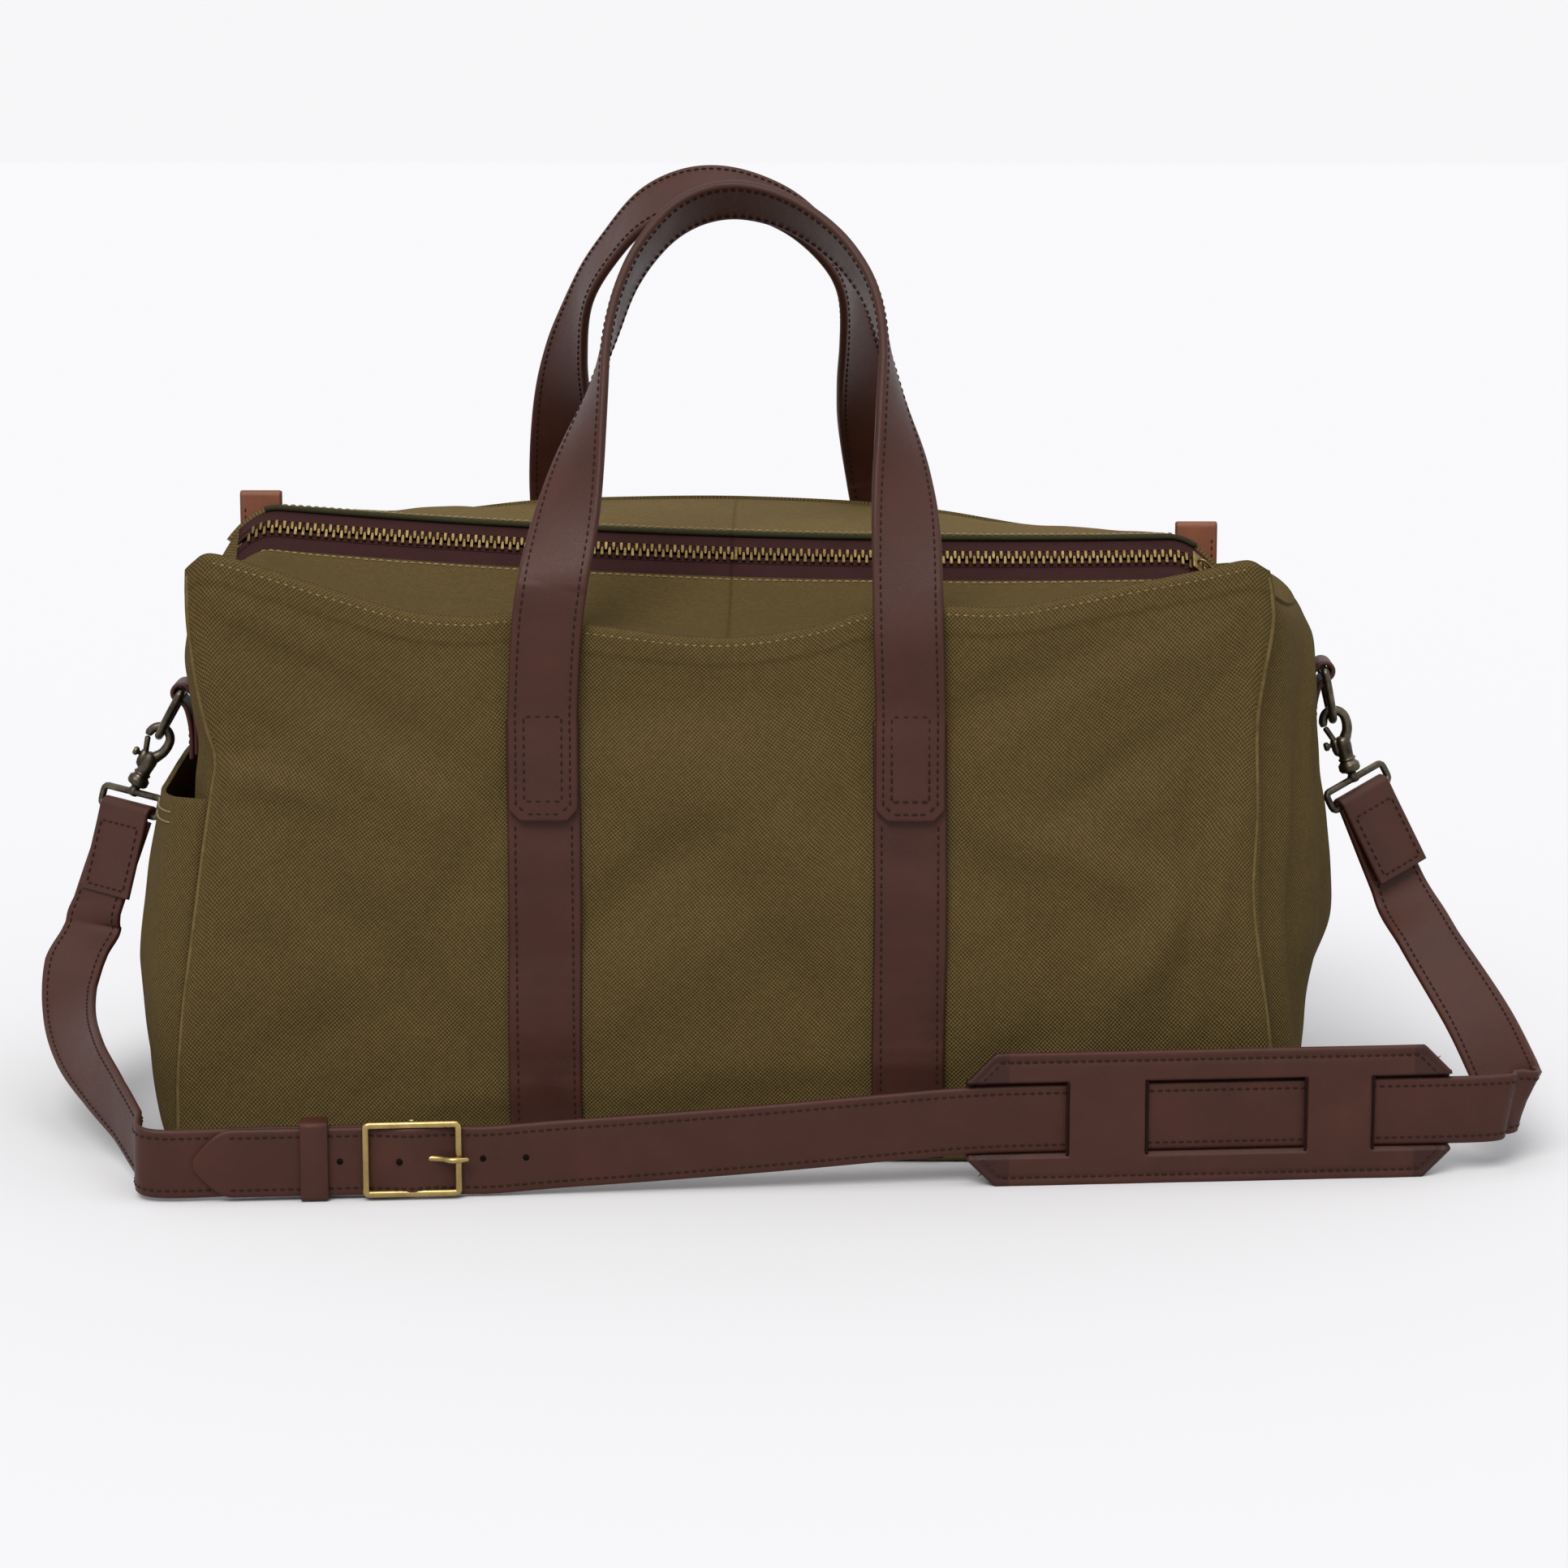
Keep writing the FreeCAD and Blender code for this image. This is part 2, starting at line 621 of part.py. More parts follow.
def make_floor_strap():
    """The shoulder strap: risers, the lengths on the floor, buckle, prong and keeper."""
    thick, wide = size("floor_strap"), size("strap_wide")
    place = floor_frame()
    up = Vector(0, 0, 1)
    line = [(-94, 0.0), (0, 0.0), (150, 0.0), (215, 8.0), (240, 12.4), (470, 12.4)]
    points = [place.multVec(Vector(x, 0, z)) for x, z in line]
    shaped("strap_long", ribbon(points, [up] * len(points), wide, thick))
    behind = thick + 0.6
    short = [place.multVec(Vector(x, behind, 0)) for x in (-112, -60, 2)]
    shaped("strap_short", ribbon(short, [up] * 3, wide, thick))
    buckle_long, buckle_tall = size("buckle_long") / 2, size("buckle_tall") / 2
    front, middle = -thick / 2 - 0.4, buckle_tall - 16.4
    low, high = middle - buckle_tall, middle + buckle_tall
    frame = plate(-buckle_long, buckle_long, front - 3.0, front, low, high)
    for x0, x1 in ((-buckle_long + 3.4, -1.6), (1.6, buckle_long - 3.4)):
        frame = frame.cut(plate(x0, x1, front - 4, front + 1, low + 3.4, high - 3.4))
    shaped("buckle_frame", frame, place)
    prong = Part.makeCylinder(1.3, buckle_long + 1.5, Vector(0, front - 4.6, middle), Vector(1, 0, 0))
    curl = Part.makeCylinder(1.5, 6, Vector(0, front - 4.6, middle - 3))
    shaped("buckle_prong", prong.fuse(curl).removeSplitter(), place)
    keeper_at, half = -42.0, size("keeper_wide") / 2
    outer = plate(keeper_at - half, keeper_at + half, -4.2, behind + 4.2, -16.5, 19.6)
    inner = plate(keeper_at - half - 1, keeper_at + half + 1, -2.0, behind + 2.0, -16.3, 17.4)
    shaped("strap_keeper", outer.cut(inner), place)
    return points, short


def riser_start(end):
    """The first two points of a riser, in line with the strap's sewn end."""
    along = end["end"] - end["eye"]
    along.normalize()
    return end["end"] + along * 2.0, end["end"] + along * 12.0


def make_risers(points, short, left_width, right_width):
    """The two lengths of strap that rise from the floor to the hooks; they flex."""
    wide, thick = size("strap_wide"), size("floor_strap")
    up = Vector(0, 0, 1)
    first, second = riser_start(ENDS["left"])
    left = [
        first, second, Vector(-303, -32, 60), Vector(-302, -56, 42), Vector(-292, -92, 27),
        Vector(-272, -128, 20), short[0] - Vector(1.2, 0.1, 0),
    ]
    lean = Vector(0.35, -0.5, 0.8)
    widths = [left_width, left_width, Vector(0.6, -0.6, 0.5), lean, Vector(0.1, -0.15, 1), up, up]
    shaped("strap_riser_left", ribbon(left, widths, wide, thick))
    first, second = riser_start(ENDS["right"])
    right = [
        first, second, Vector(332, -32, 68), Vector(345, -60, 48), Vector(353, -88, 34),
        Vector(352, -110, 30), points[-1] + Vector(1.2, 0.1, 0),
    ]
    widths = [right_width, right_width, Vector(0.4, -0.8, 0.4), Vector(0, -0.6, 0.8), up, up, up]
    shaped("strap_riser_right", ribbon(right, widths, wide, thick))


def make_pad():
    """The slotted leather pad that the strap threads; sleeves stand where it covers the strap."""
    place = floor_frame()
    long, tall = size("pad_length"), size("pad_tall") / 2
    middle_z, start, thick = 12.4, 244.0, size("floor_strap")
    back = thick / 2 + 0.5
    low, high = middle_z - tall + 0.2, middle_z + tall
    pad_plate = plate(start, start + long, back, back + 3.0, low, high)
    corners = [e for e in pad_plate.Edges if e.Length < 3.5]
    pad_plate = pad_plate.makeFillet(16.0, corners)
    sleeves = []
    for x0, x1 in ((41, 75), (146, 175)):
        sleeves.append(plate(start + x0, start + x1, -back - 2.6, back + 1.0,
                             middle_z - 21, middle_z + 21))
    channel = plate(start - 1, start + long + 1, -back, back, middle_z - 16.6, middle_z + 16.6)
    shaped("shoulder_pad", pad_plate.fuse(sleeves).cut(channel).removeSplitter(), place)


def check_and_write():
    """Stop on any failed object or bad shape, then write each piece's STEP file."""
    DOC.recompute()
    for thing in DOC.Objects:
        if {"Invalid", "Error"} & set(thing.State):
            raise RuntimeError("%s failed: %s" % (thing.Label, thing.State))
    os.makedirs("parts", exist_ok=True)
    for piece in PARTS:
        shape = piece.Shape
        if shape.isNull() or not shape.isValid() or shape.Volume <= 0:
            raise RuntimeError("%s has a bad shape" % piece.Label)
        shape.exportStep("parts/%s.step" % piece.Label)
        box = shape.BoundBox
        print("%-22s solids %d  vol %9.0f  x %.1f..%.1f  y %.1f..%.1f  z %.1f..%.1f" % (
            piece.Label, len(shape.Solids), shape.Volume,
            box.XMin, box.XMax, box.YMin, box.YMax, box.ZMin, box.ZMax,
        ))


def main():
    fill_sheet()
    make_panels()
    make_pocket()
    make_straps()
    make_handle("front_handle", FRONT_LOOP, -1)
    make_handle("back_handle", BACK_LOOP, 1)
    for face, sign in (("front", -1), ("back", 1)):
        make_flap(face, sign)
    make_slider()
    make_zip_tabs()
    widths = {}
    for side, end in ENDS.items():
        make_chape(side, end)
        low, down = make_ring(side, end)
        widths[side] = make_hook(side, end, low, down)
    points, short = make_floor_strap()
    make_risers(points, short, widths["left"], widths["right"])
    make_pad()
    check_and_write()


main()
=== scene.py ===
import json
import math

import bmesh
import bpy
import numpy as np
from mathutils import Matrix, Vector

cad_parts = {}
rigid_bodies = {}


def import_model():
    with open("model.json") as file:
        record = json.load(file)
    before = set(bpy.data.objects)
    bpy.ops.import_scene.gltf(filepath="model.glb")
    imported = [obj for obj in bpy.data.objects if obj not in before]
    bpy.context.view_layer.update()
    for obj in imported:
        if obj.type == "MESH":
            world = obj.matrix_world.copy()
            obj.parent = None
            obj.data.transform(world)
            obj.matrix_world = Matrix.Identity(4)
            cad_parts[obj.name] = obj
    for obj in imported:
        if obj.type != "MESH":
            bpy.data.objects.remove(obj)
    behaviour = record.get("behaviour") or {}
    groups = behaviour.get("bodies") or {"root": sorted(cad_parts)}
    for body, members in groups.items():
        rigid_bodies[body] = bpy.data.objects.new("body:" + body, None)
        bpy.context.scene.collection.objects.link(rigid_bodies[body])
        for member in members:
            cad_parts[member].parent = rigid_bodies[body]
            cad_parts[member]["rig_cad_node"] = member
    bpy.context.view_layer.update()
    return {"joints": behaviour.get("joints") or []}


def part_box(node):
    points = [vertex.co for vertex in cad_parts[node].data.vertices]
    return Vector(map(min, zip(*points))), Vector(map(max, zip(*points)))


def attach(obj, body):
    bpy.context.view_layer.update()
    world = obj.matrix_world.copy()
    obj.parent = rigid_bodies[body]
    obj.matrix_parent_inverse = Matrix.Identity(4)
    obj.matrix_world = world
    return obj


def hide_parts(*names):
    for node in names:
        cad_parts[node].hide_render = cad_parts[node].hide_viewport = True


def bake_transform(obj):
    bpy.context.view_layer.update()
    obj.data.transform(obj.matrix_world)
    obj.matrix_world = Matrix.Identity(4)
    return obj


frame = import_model()
JOINTS = {j["name"]: j for j in frame["joints"]}
MM = 0.001
RNG = np.random.default_rng(7)

# Places read from the frame, in millimetres.
HALF_DEPTH = -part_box("front_panel")[0][1] * 1000
STRAP_LEFT = (np.array(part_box("front_strap_left")[0]) + np.array(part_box("front_strap_left")[1])) * 500
SPREAD = -STRAP_LEFT[0]
STRAP_WIDE = (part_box("front_strap_left")[1][0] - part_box("front_strap_left")[0][0]) * 1000
HINGE_Z = JOINTS["front_handle_fold"]["pos_m"][2] * 1000
TAB_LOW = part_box("front_handle_end_left")[0][2] * 1000
ZIP_MID = (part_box("zip_tape_front")[0][2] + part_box("zip_tape_back")[1][2]) * 500


# ---------------------------------------------------------------- small maths

def unit(v):
    """A vector, or each row of an array, at length 1."""
    v = np.asarray(v, float)
    return v / np.maximum(np.linalg.norm(v, axis=-1, keepdims=True), 1e-9)


def smooth(t):
    """0 to 1 with level ends."""
    t = np.clip(t, 0, 1)
    return t * t * (3 - 2 * t)


def curve(points, count):
    """count points evenly spaced along a Catmull-Rom curve through the given points."""
    p = np.asarray(points, float)
    p = np.vstack([2 * p[0] - p[1], p, 2 * p[-1] - p[-2]])
    out = []
    for i in range(1, len(p) - 2):
        t = np.linspace(0, 1, 24, endpoint=False)[:, None]
        a, b, c, d = p[i - 1], p[i], p[i + 1], p[i + 2]
        out.append(0.5 * (2 * b + (c - a) * t + (2 * a - 5 * b + 4 * c - d) * t ** 2
                          + (3 * b - a - 3 * c + d) * t ** 3))
    out.append(p[-2][None])
    return even(np.vstack(out), count)


def lengths_along(points):
    """The length of a line of points up to each of its points."""
    return np.concatenate([[0], np.cumsum(np.linalg.norm(np.diff(points, axis=0), axis=1))])


def at_lengths(where, along, values):
    """Rows of values, given at the lengths along, read at the lengths where."""
    return np.stack([np.interp(where, along, values[:, k]) for k in range(values.shape[1])], axis=-1)


def even(points, count):
    """count points evenly spaced by length along a fine line of points."""
    along = lengths_along(points)
    return at_lengths(np.linspace(0, along[-1], count), along, points)


def tangents_of(path):
    """Unit directions along a path."""
    return unit(np.gradient(path, axis=0))


def ripple(a, b, seed, scale):
    """Smooth noise over two coordinates, about -1 to 1, the same for the same seed."""
    r = np.random.default_rng(seed)
    total, share = 0.0, 1.0
    for _ in range(3):
        for _ in range(4):
            turn, phase = r.uniform(0, math.tau, 2)
            wave = (a * math.cos(turn) + b * math.sin(turn)) / scale
            total = total + share * np.sin(wave * math.tau + phase) / 4
        scale, share = scale * 0.52, share * 0.5
    return total


# ---------------------------------------------------------------- mesh helpers

def new_mesh(name, verts, faces, uvs=None, material=None, smooth_shade=True):
    """A mesh object from millimetre vertices; uvs are per vertex, in millimetres."""
    mesh = bpy.data.meshes.new(name)
    mesh.from_pydata([tuple(v) for v in np.asarray(verts, float) * MM], [], [tuple(f) for f in faces])
    mesh.update()
    if uvs is not None:
        layer = mesh.uv_layers.new(name="UVMap")
        index = np.empty(len(mesh.loops), int)
        mesh.loops.foreach_get("vertex_index", index)
        layer.data.foreach_set("uv", (np.asarray(uvs, float)[index] * MM).ravel())
    mesh.polygons.foreach_set("use_smooth", [smooth_shade] * len(mesh.polygons))
    piece = bpy.data.objects.new(name, mesh)
    bpy.context.collection.objects.link(piece)
    if material is not None:
        mesh.materials.append(material)
    return piece


def grid_faces(rows, columns, wrap=False):
    """Quads of a rows by columns grid; wrap joins the last column to the first."""
    r = np.arange(rows - 1)[:, None]
    c = np.arange(columns if wrap else columns - 1)[None, :]
    n = (c + 1) % columns
    quads = np.stack([r * columns + c, r * columns + n, (r + 1) * columns + n, (r + 1) * columns + c], -1)
    return quads.reshape(-1, 4)


def tube_faces(rows, columns, closed=False):
    """Faces of a tube of rows rings, its ends capped, or joined to each other if closed."""
    faces = [tuple(f) for f in grid_faces(rows, columns, wrap=True)]
    last = (rows - 1) * columns
    if closed:
        a = np.arange(columns)
        b = (a + 1) % columns
        return faces + [tuple(f) for f in np.stack([last + a, last + b, b, a], -1)]
    return faces + [tuple(range(columns - 1, -1, -1)), tuple(last + np.arange(columns))]


def closed_mesh(name, verts, faces, uvs, material, smooth_shade=True):
    """A new mesh with every face turned outward."""
    piece = new_mesh(name, verts, faces, uvs, material, smooth_shade)
    work = bmesh.new()
    work.from_mesh(piece.data)
    bmesh.ops.recalc_face_normals(work, faces=work.faces)
    work.to_mesh(piece.data)
    work.free()
    return piece


def normals_of(points):
    """Unit normals of a (rows, columns, 3) grid, by central differences."""
    down = np.gradient(points, axis=0)
    across = np.gradient(points, axis=1)
    return unit(np.cross(across, down))


def cloth(name, points, material, thick, flip=False):
    """A sheet of cloth with real thickness from a (rows, columns, 3) grid of its outside."""
    rows, columns = points.shape[:2]
    out = normals_of(points) * (-1 if flip else 1)
    inside = points - out * thick
    across = np.concatenate([np.zeros((rows, 1)), np.cumsum(
        np.linalg.norm(np.diff(points, axis=1), axis=2), axis=1)], axis=1)
    middle = columns // 2
    v = lengths_along(points[:, middle])
    uv = np.stack([across - across[:, middle][:, None], np.repeat(v[:, None], columns, 1)], -1).reshape(-1, 2)
    front = grid_faces(rows, columns)
    count = rows * columns
    back = front[:, ::-1] + count
    ring = np.concatenate([
        np.arange(columns), np.arange(1, rows) * columns + columns - 1,
        (rows - 1) * columns + np.arange(columns - 2, -1, -1), np.arange(rows - 2, 0, -1) * columns,
    ])
    after = np.roll(ring, -1)
    rim = np.stack([after, ring, ring + count, after + count], -1)
    faces = np.vstack([front, back, rim])
    if not flip:
        faces = faces[:, ::-1]
    piece = closed_mesh(name, np.vstack([points.reshape(-1, 3), inside.reshape(-1, 3)]), faces,
                        np.vstack([uv, uv]), material)
    # The cut rim is shaded flat.
    shaded = np.ones(len(faces), bool)
    shaded[-len(rim):] = False
    piece.data.polygons.foreach_set("use_smooth", shaded)
    return piece


def strap(name, path, widths, wide, thick, material, crown=0.25, taper=None, uv_shift=0.0):
    """A leather strap along path (n, 3); widths are the directions of its width.

    Its section is a rounded rectangle with a slightly crowned face. taper scales the width.
    Returns the piece and the directions across it and out of its face."""
    path = np.asarray(path, float)
    along = tangents_of(path)
    across = np.asarray(widths, float)
    across = unit(across - along * (across * along).sum(1, keepdims=True))
    face = np.cross(along, across)
    half, deep = wide / 2, thick / 2
    edge = 0.55  # the share of the thickness left between the rounded corners
    top = np.array([-1, -0.93, -0.8, -0.5, 0, 0.5, 0.8, 0.93, 1.0])
    section = [(-half, -deep * edge), (-half - 0.12, 0), (-half, deep * edge)]
    section += [(a * (half - 0.7), deep + crown * (1 - a * a)) for a in top]
    section += [(half, deep * edge), (half + 0.12, 0), (half, -deep * edge)]
    section += [(a * (half - 0.7), -deep) for a in top[::-1]]
    section = np.array(section)
    scale = np.ones(len(path)) if taper is None else np.asarray(taper, float)
    points = (path[:, None] + across[:, None] * (section[None, :, :1] * scale[:, None, None])
              + face[:, None] * section[None, :, 1:])
    along_mm = lengths_along(path) + uv_shift
    n, m = len(path), len(section)
    uv = np.stack([np.repeat(section[None, :, 0], n, 0) * scale[:, None],
                   np.repeat(along_mm[:, None], m, 1)], -1).reshape(-1, 2)
    return closed_mesh(name, points.reshape(-1, 3), tube_faces(n, m), uv, material), across, face


def tube(name, path, radius, material, closed=False, sides=14):
    """A round wire along path; radius may vary from point to point."""
    path = np.asarray(path, float)
    n = len(path)
    if closed:
        along = unit(np.roll(path, -1, 0) - np.roll(path, 1, 0))
    else:
        along = tangents_of(path)
    radius = np.broadcast_to(np.asarray(radius, float), (n,))
    first = np.cross(along[0], [0, 0, 1.0])
    if np.linalg.norm(first) < 0.2:
        first = np.cross(along[0], [0, 1.0, 0])
    side = [unit(first)]
    for i in range(1, n):
        s = side[-1] - along[i] * side[-1].dot(along[i])
        side.append(unit(s))
    side = np.array(side)
    up = np.cross(along, side)
    if closed:
        # Spread the turn that is left over evenly round the loop.
        last = side[-1] - along[0] * side[-1].dot(along[0])
        turn = math.atan2(np.dot(np.cross(unit(last), side[0]), along[0]), np.dot(unit(last), side[0]))
        share = np.linspace(0, turn, n)[:, None]
        side, up = side * np.cos(share) + up * np.sin(share), up * np.cos(share) - side * np.sin(share)
    angle = np.arange(sides) / sides * math.tau
    points = (path[:, None] + radius[:, None, None] * (
        side[:, None] * np.cos(angle)[None, :, None] + up[:, None] * np.sin(angle)[None, :, None]))
    return closed_mesh(name, points.reshape(-1, 3), tube_faces(n, sides, closed), None, material)


def lathe(name, start, axis, profile, material, sides=28):
    """A turned piece: profile is (distance along axis, radius)."""
    axis = unit(np.asarray(axis, float))
    path = np.array([np.asarray(start, float) + axis * d for d, _ in profile])
    side = unit(np.cross(axis, [0, 1.0, 0.1]))
    up = np.cross(axis, side)
    angle = np.arange(sides) / sides * math.tau
    ring = side[None] * np.cos(angle)[:, None] + up[None] * np.sin(angle)[:, None]
    points = path[:, None] + ring[None] * np.array([r for _, r in profile])[:, None, None]
    return closed_mesh(name, points.reshape(-1, 3), tube_faces(len(profile), sides), None, material)


def join(name, pieces):
    """Join pieces into the first one, and name it."""
    work = bmesh.new()
    slots = []
    for p in pieces:
        for m in p.data.materials:
            if m not in slots:
                slots.append(m)
    for p in pieces:
        before = len(work.faces)
        work.from_mesh(p.data)
        work.faces.ensure_lookup_table()
        for f in work.faces[before:]:
            f.material_index = slots.index(p.data.materials[f.material_index])
    mesh = bpy.data.meshes.new(name)
    work.to_mesh(mesh)
    work.free()
    for m in slots:
        mesh.materials.append(m)
    for p in pieces:
        bpy.data.objects.remove(p)
    piece = bpy.data.objects.new(name, mesh)
    bpy.context.collection.objects.link(piece)
    return piece


def stitches(name, lines, material, pitch=3.5, long=2.5, radius=0.42, sink=0.1):
    """Rows of sewing thread. Each line is (points, outward directions or one direction), in millimetres."""
    ring = np.arange(6) / 6 * math.tau
    stations = np.array([-0.5, -0.36, 0, 0.36, 0.5])
    fat = np.array([0.25, 0.85, 1.0, 0.85, 0.25])
    dip = np.array([-0.75, -0.1, 0.12, -0.1, -0.75])
    verts = []
    for points, normals in lines:
        points = np.asarray(points, float)
        normals = np.broadcast_to(unit(normals), points.shape)
        total = float(np.linalg.norm(np.diff(points, axis=0), axis=1).sum())
        count = max(1, int(total / pitch))
        along = lengths_along(points)
        at = (np.arange(count) + 0.5) * total / count
        middle, normal = at_lengths(at, along, points), unit(at_lengths(at, along, normals))
        direction = unit(at_lengths(at + 0.6, along, points) - at_lengths(at - 0.6, along, points))
        side = unit(np.cross(direction, normal))
        jitter = 1 + RNG.uniform(-0.07, 0.07, count)
        for i in range(count):
            centre = (middle[i] + direction[i] * (stations * long * jitter[i])[:, None]
                      + normal[i] * ((dip - sink) * radius)[:, None])
            body = (centre[:, None] + side[i] * (np.cos(ring)[None, :, None] * fat[:, None, None] * radius)
                    + normal[i] * (np.sin(ring)[None, :, None] * fat[:, None, None] * radius))
            verts.append(body.reshape(-1, 3))
    starts = np.arange(len(verts)) * len(verts[0])
    one = grid_faces(5, 6, wrap=True)
    quads = np.concatenate([one + s for s in starts])
    caps = [tuple(s + np.arange(5, -1, -1)) for s in starts] + [tuple(s + 24 + np.arange(6)) for s in starts]
    return closed_mesh(name, np.concatenate(verts), [tuple(q) for q in quads] + caps, None, material)


def slot_ride(piece, slot, body, *nodes):
    """Attach a piece to its body and hide the CAD nodes that it stands for; the slot is not used."""
    if body:
        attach(piece, body)
    if nodes:
        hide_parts(*nodes)
    return piece


def height_line(x, y, z):
    """An upright line of points at the heights z, with x and y each one value or many."""
    return np.stack([x + 0 * z, y + 0 * z, z], -1)


# ---------------------------------------------------------------- materials

class Shader:
    """A material whose colour, roughness and bump come from procedural nodes."""

    def __init__(self, name, base, roughness, metallic=0.0, specular=0.5):
        self.material = bpy.data.materials.new(name)
        self.material.use_nodes = True
        self.tree = self.material.node_tree
        self.nodes, self.links = self.tree.nodes, self.tree.links
        self.surface = self.nodes["Principled BSDF"]
        self.surface.inputs["Base Color"].default_value = (*base, 1)
        self.surface.inputs["Roughness"].default_value = roughness
        self.surface.inputs["Metallic"].default_value = metallic
        self.surface.inputs["Specular IOR Level"].default_value = specular
        self.coordinates = self.nodes.new("ShaderNodeTexCoord")

    def node(self, kind, **settings):
        """A new node with its inputs or settings given by name."""
        made = self.nodes.new(kind)
        for key, value in settings.items():
            if key in made.inputs:
                made.inputs[key].default_value = value
            else:
                setattr(made, key, value)
        return made

    def join(self, source, target):
        """Link a node's output to an input."""
        self.links.new(source, target)

    def feed(self, sockets, values):
        """Give each socket a number, a colour or another node's output."""
        for socket, value in zip(sockets, values):
            if isinstance(value, (int, float)):
                socket.default_value = value
            elif isinstance(value, tuple):
                socket.default_value = (*value, 1)
            else:
                self.join(value, socket)

    def math(self, operation, a, b=0.0, clamp=False):
        """A sum, product or function of one or two values."""
        made = self.node("ShaderNodeMath", operation=operation, use_clamp=clamp)
        self.feed(made.inputs, (a, b))
        return made.outputs[0]

    def mix(self, share, a, b, blend="MIX"):
        """Colour a turning into colour b as share goes from 0 to 1."""
        made = self.node("ShaderNodeMix", data_type="RGBA", blend_type=blend)
        self.feed((made.inputs["Factor"], made.inputs[6], made.inputs[7]), (share, a, b))
        return made.outputs[2]

    def noise(self, scale, detail=3.0, roughness=0.6):
        """Noise over the piece's own space."""
        made = self.node("ShaderNodeTexNoise", Scale=scale, Detail=detail, Roughness=roughness)
        self.join(self.coordinates.outputs["Object"], made.inputs["Vector"])
        return made.outputs["Fac"]

    def uv(self):
        """The two texture coordinates, in metres across and along the cloth or strap."""
        parts = self.node("ShaderNodeSeparateXYZ")
        self.join(self.coordinates.outputs["UV"], parts.inputs[0])
        return parts.outputs[0], parts.outputs[1]

    def range(self, value, low, high, to_low, to_high):
        """A value moved from one range to another, and held inside it."""
        made = self.node("ShaderNodeMapRange")
        self.join(value, made.inputs[0])
        for i, v in enumerate((low, high, to_low, to_high), start=1):
            made.inputs[i].default_value = v
        return made.outputs[0]

    def bump(self, height, strength, distance):
        """A surface direction from a height."""
        made = self.node("ShaderNodeBump", Strength=strength, Distance=distance)
        self.join(height, made.inputs["Height"])
        return made.outputs[0]

    def finish(self, color=None, roughness=None, normal=None):
        """Join what is given to the surface, and return the material."""
        for value, name in ((color, "Base Color"), (roughness, "Roughness"), (normal, "Normal")):
            if value is not None:
                self.join(value, self.surface.inputs[name])
        return self.material


WEAVE_PITCH = 1.84  # from thread to thread of the canvas, in millimetres


def canvas_material(name, thread, gap, strength=1.0):
    """Coarse plain-weave canvas: staggered thread crowns with dark gaps between them."""
    s = Shader(name, thread, roughness=0.95, specular=0.04)
    u, v = s.uv()
    warp = s.math("MULTIPLY", s.noise(90.0, 2.0), 0.0012)
    wide = s.math("SINE", s.math("MULTIPLY", s.math("ADD", u, warp), math.tau / (WEAVE_PITCH * MM)))
    tall = s.math("SINE", s.math("MULTIPLY", s.math("ADD", v, warp), math.tau / (WEAVE_PITCH * 0.97 * MM)))
    crown = s.math("ADD", s.math("MULTIPLY", s.math("MULTIPLY", wide, tall), 0.5), 0.5)
    crown = s.math("POWER", crown, 0.8)
    fibre = s.noise(2600.0, 2.0)
    patch = s.noise(22.0, 4.0)
    slub = s.noise(420.0, 2.0)
    lit = s.math("ADD", s.math("MULTIPLY", crown, 0.86), s.math("MULTIPLY", fibre, 0.16), clamp=True)
    color = s.mix(lit, gap, thread)
    warm = tuple(c * k for c, k in zip(thread, (1.10, 1.02, 0.92)))
    color = s.mix(s.range(patch, 0.42, 0.7, 0.0, 0.25), color, s.mix(lit, gap, warm))
    dark = s.range(slub, 0.35, 0.65, 0.9, 1.07)
    grey = s.node("ShaderNodeCombineColor")
    s.feed(grey.inputs, (dark, dark, dark))
    color = s.mix(1.0, color, grey.outputs[0], "MULTIPLY")
    height = s.math("ADD", crown, s.math("MULTIPLY", fibre, 0.35))
    return s.finish(color, None, s.bump(height, 0.85 * strength, 0.0007))


def leather_material(name, base, half=16.0, roughness=0.46, grain=0.3, edge=0.45):
    """Oiled leather: fine pores, soft mottling, darkened edges and paler wear beside them."""
    s = Shader(name, base, roughness=roughness, specular=0.2)
    s.surface.inputs["Coat Weight"].default_value = 0.03
    s.surface.inputs["Coat Roughness"].default_value = 0.35
    u, _ = s.uv()
    mottled = s.noise(38.0, 5.0)
    fine = s.noise(900.0, 3.0)
    pores = s.node("ShaderNodeTexVoronoi", feature="DISTANCE_TO_EDGE", Scale=1500.0)
    s.join(s.coordinates.outputs["Object"], pores.inputs["Vector"])
    cell = s.range(pores.outputs["Distance"], 0.0, 0.12, 0.0, 1.0)
    dark = tuple(c * 0.84 for c in base)
    light = tuple(min(1, c * k) for c, k in zip(base, (1.22, 1.24, 1.28)))
    color = s.mix(s.range(mottled, 0.3, 0.75, 0.0, 1.0), dark, light)
    color = s.mix(s.range(fine, 0.45, 0.75, 0.0, 0.3), color, light)
    out = s.math("ABSOLUTE", u)
    rim = s.range(out, (half - 1.1) * MM, (half - 0.2) * MM, 0.0, edge)
    rubbed = s.range(s.math("ABSOLUTE", s.math("SUBTRACT", out, (half - 1.7) * MM)), 0.0, 0.9 * MM, 0.2, 0.0)
    color = s.mix(rubbed, color, light)
    color = s.mix(rim, color, tuple(c * 0.28 for c in base))
    rough = s.range(s.math("ADD", mottled, fine), 0.7, 1.35, roughness - 0.09, roughness + 0.14)
    crease = s.noise(160.0, 4.0, 0.7)
    height = s.math("ADD", s.math("MULTIPLY", cell, 0.5), crease)
    return s.finish(color, rough, s.bump(height, grain, 0.00035))


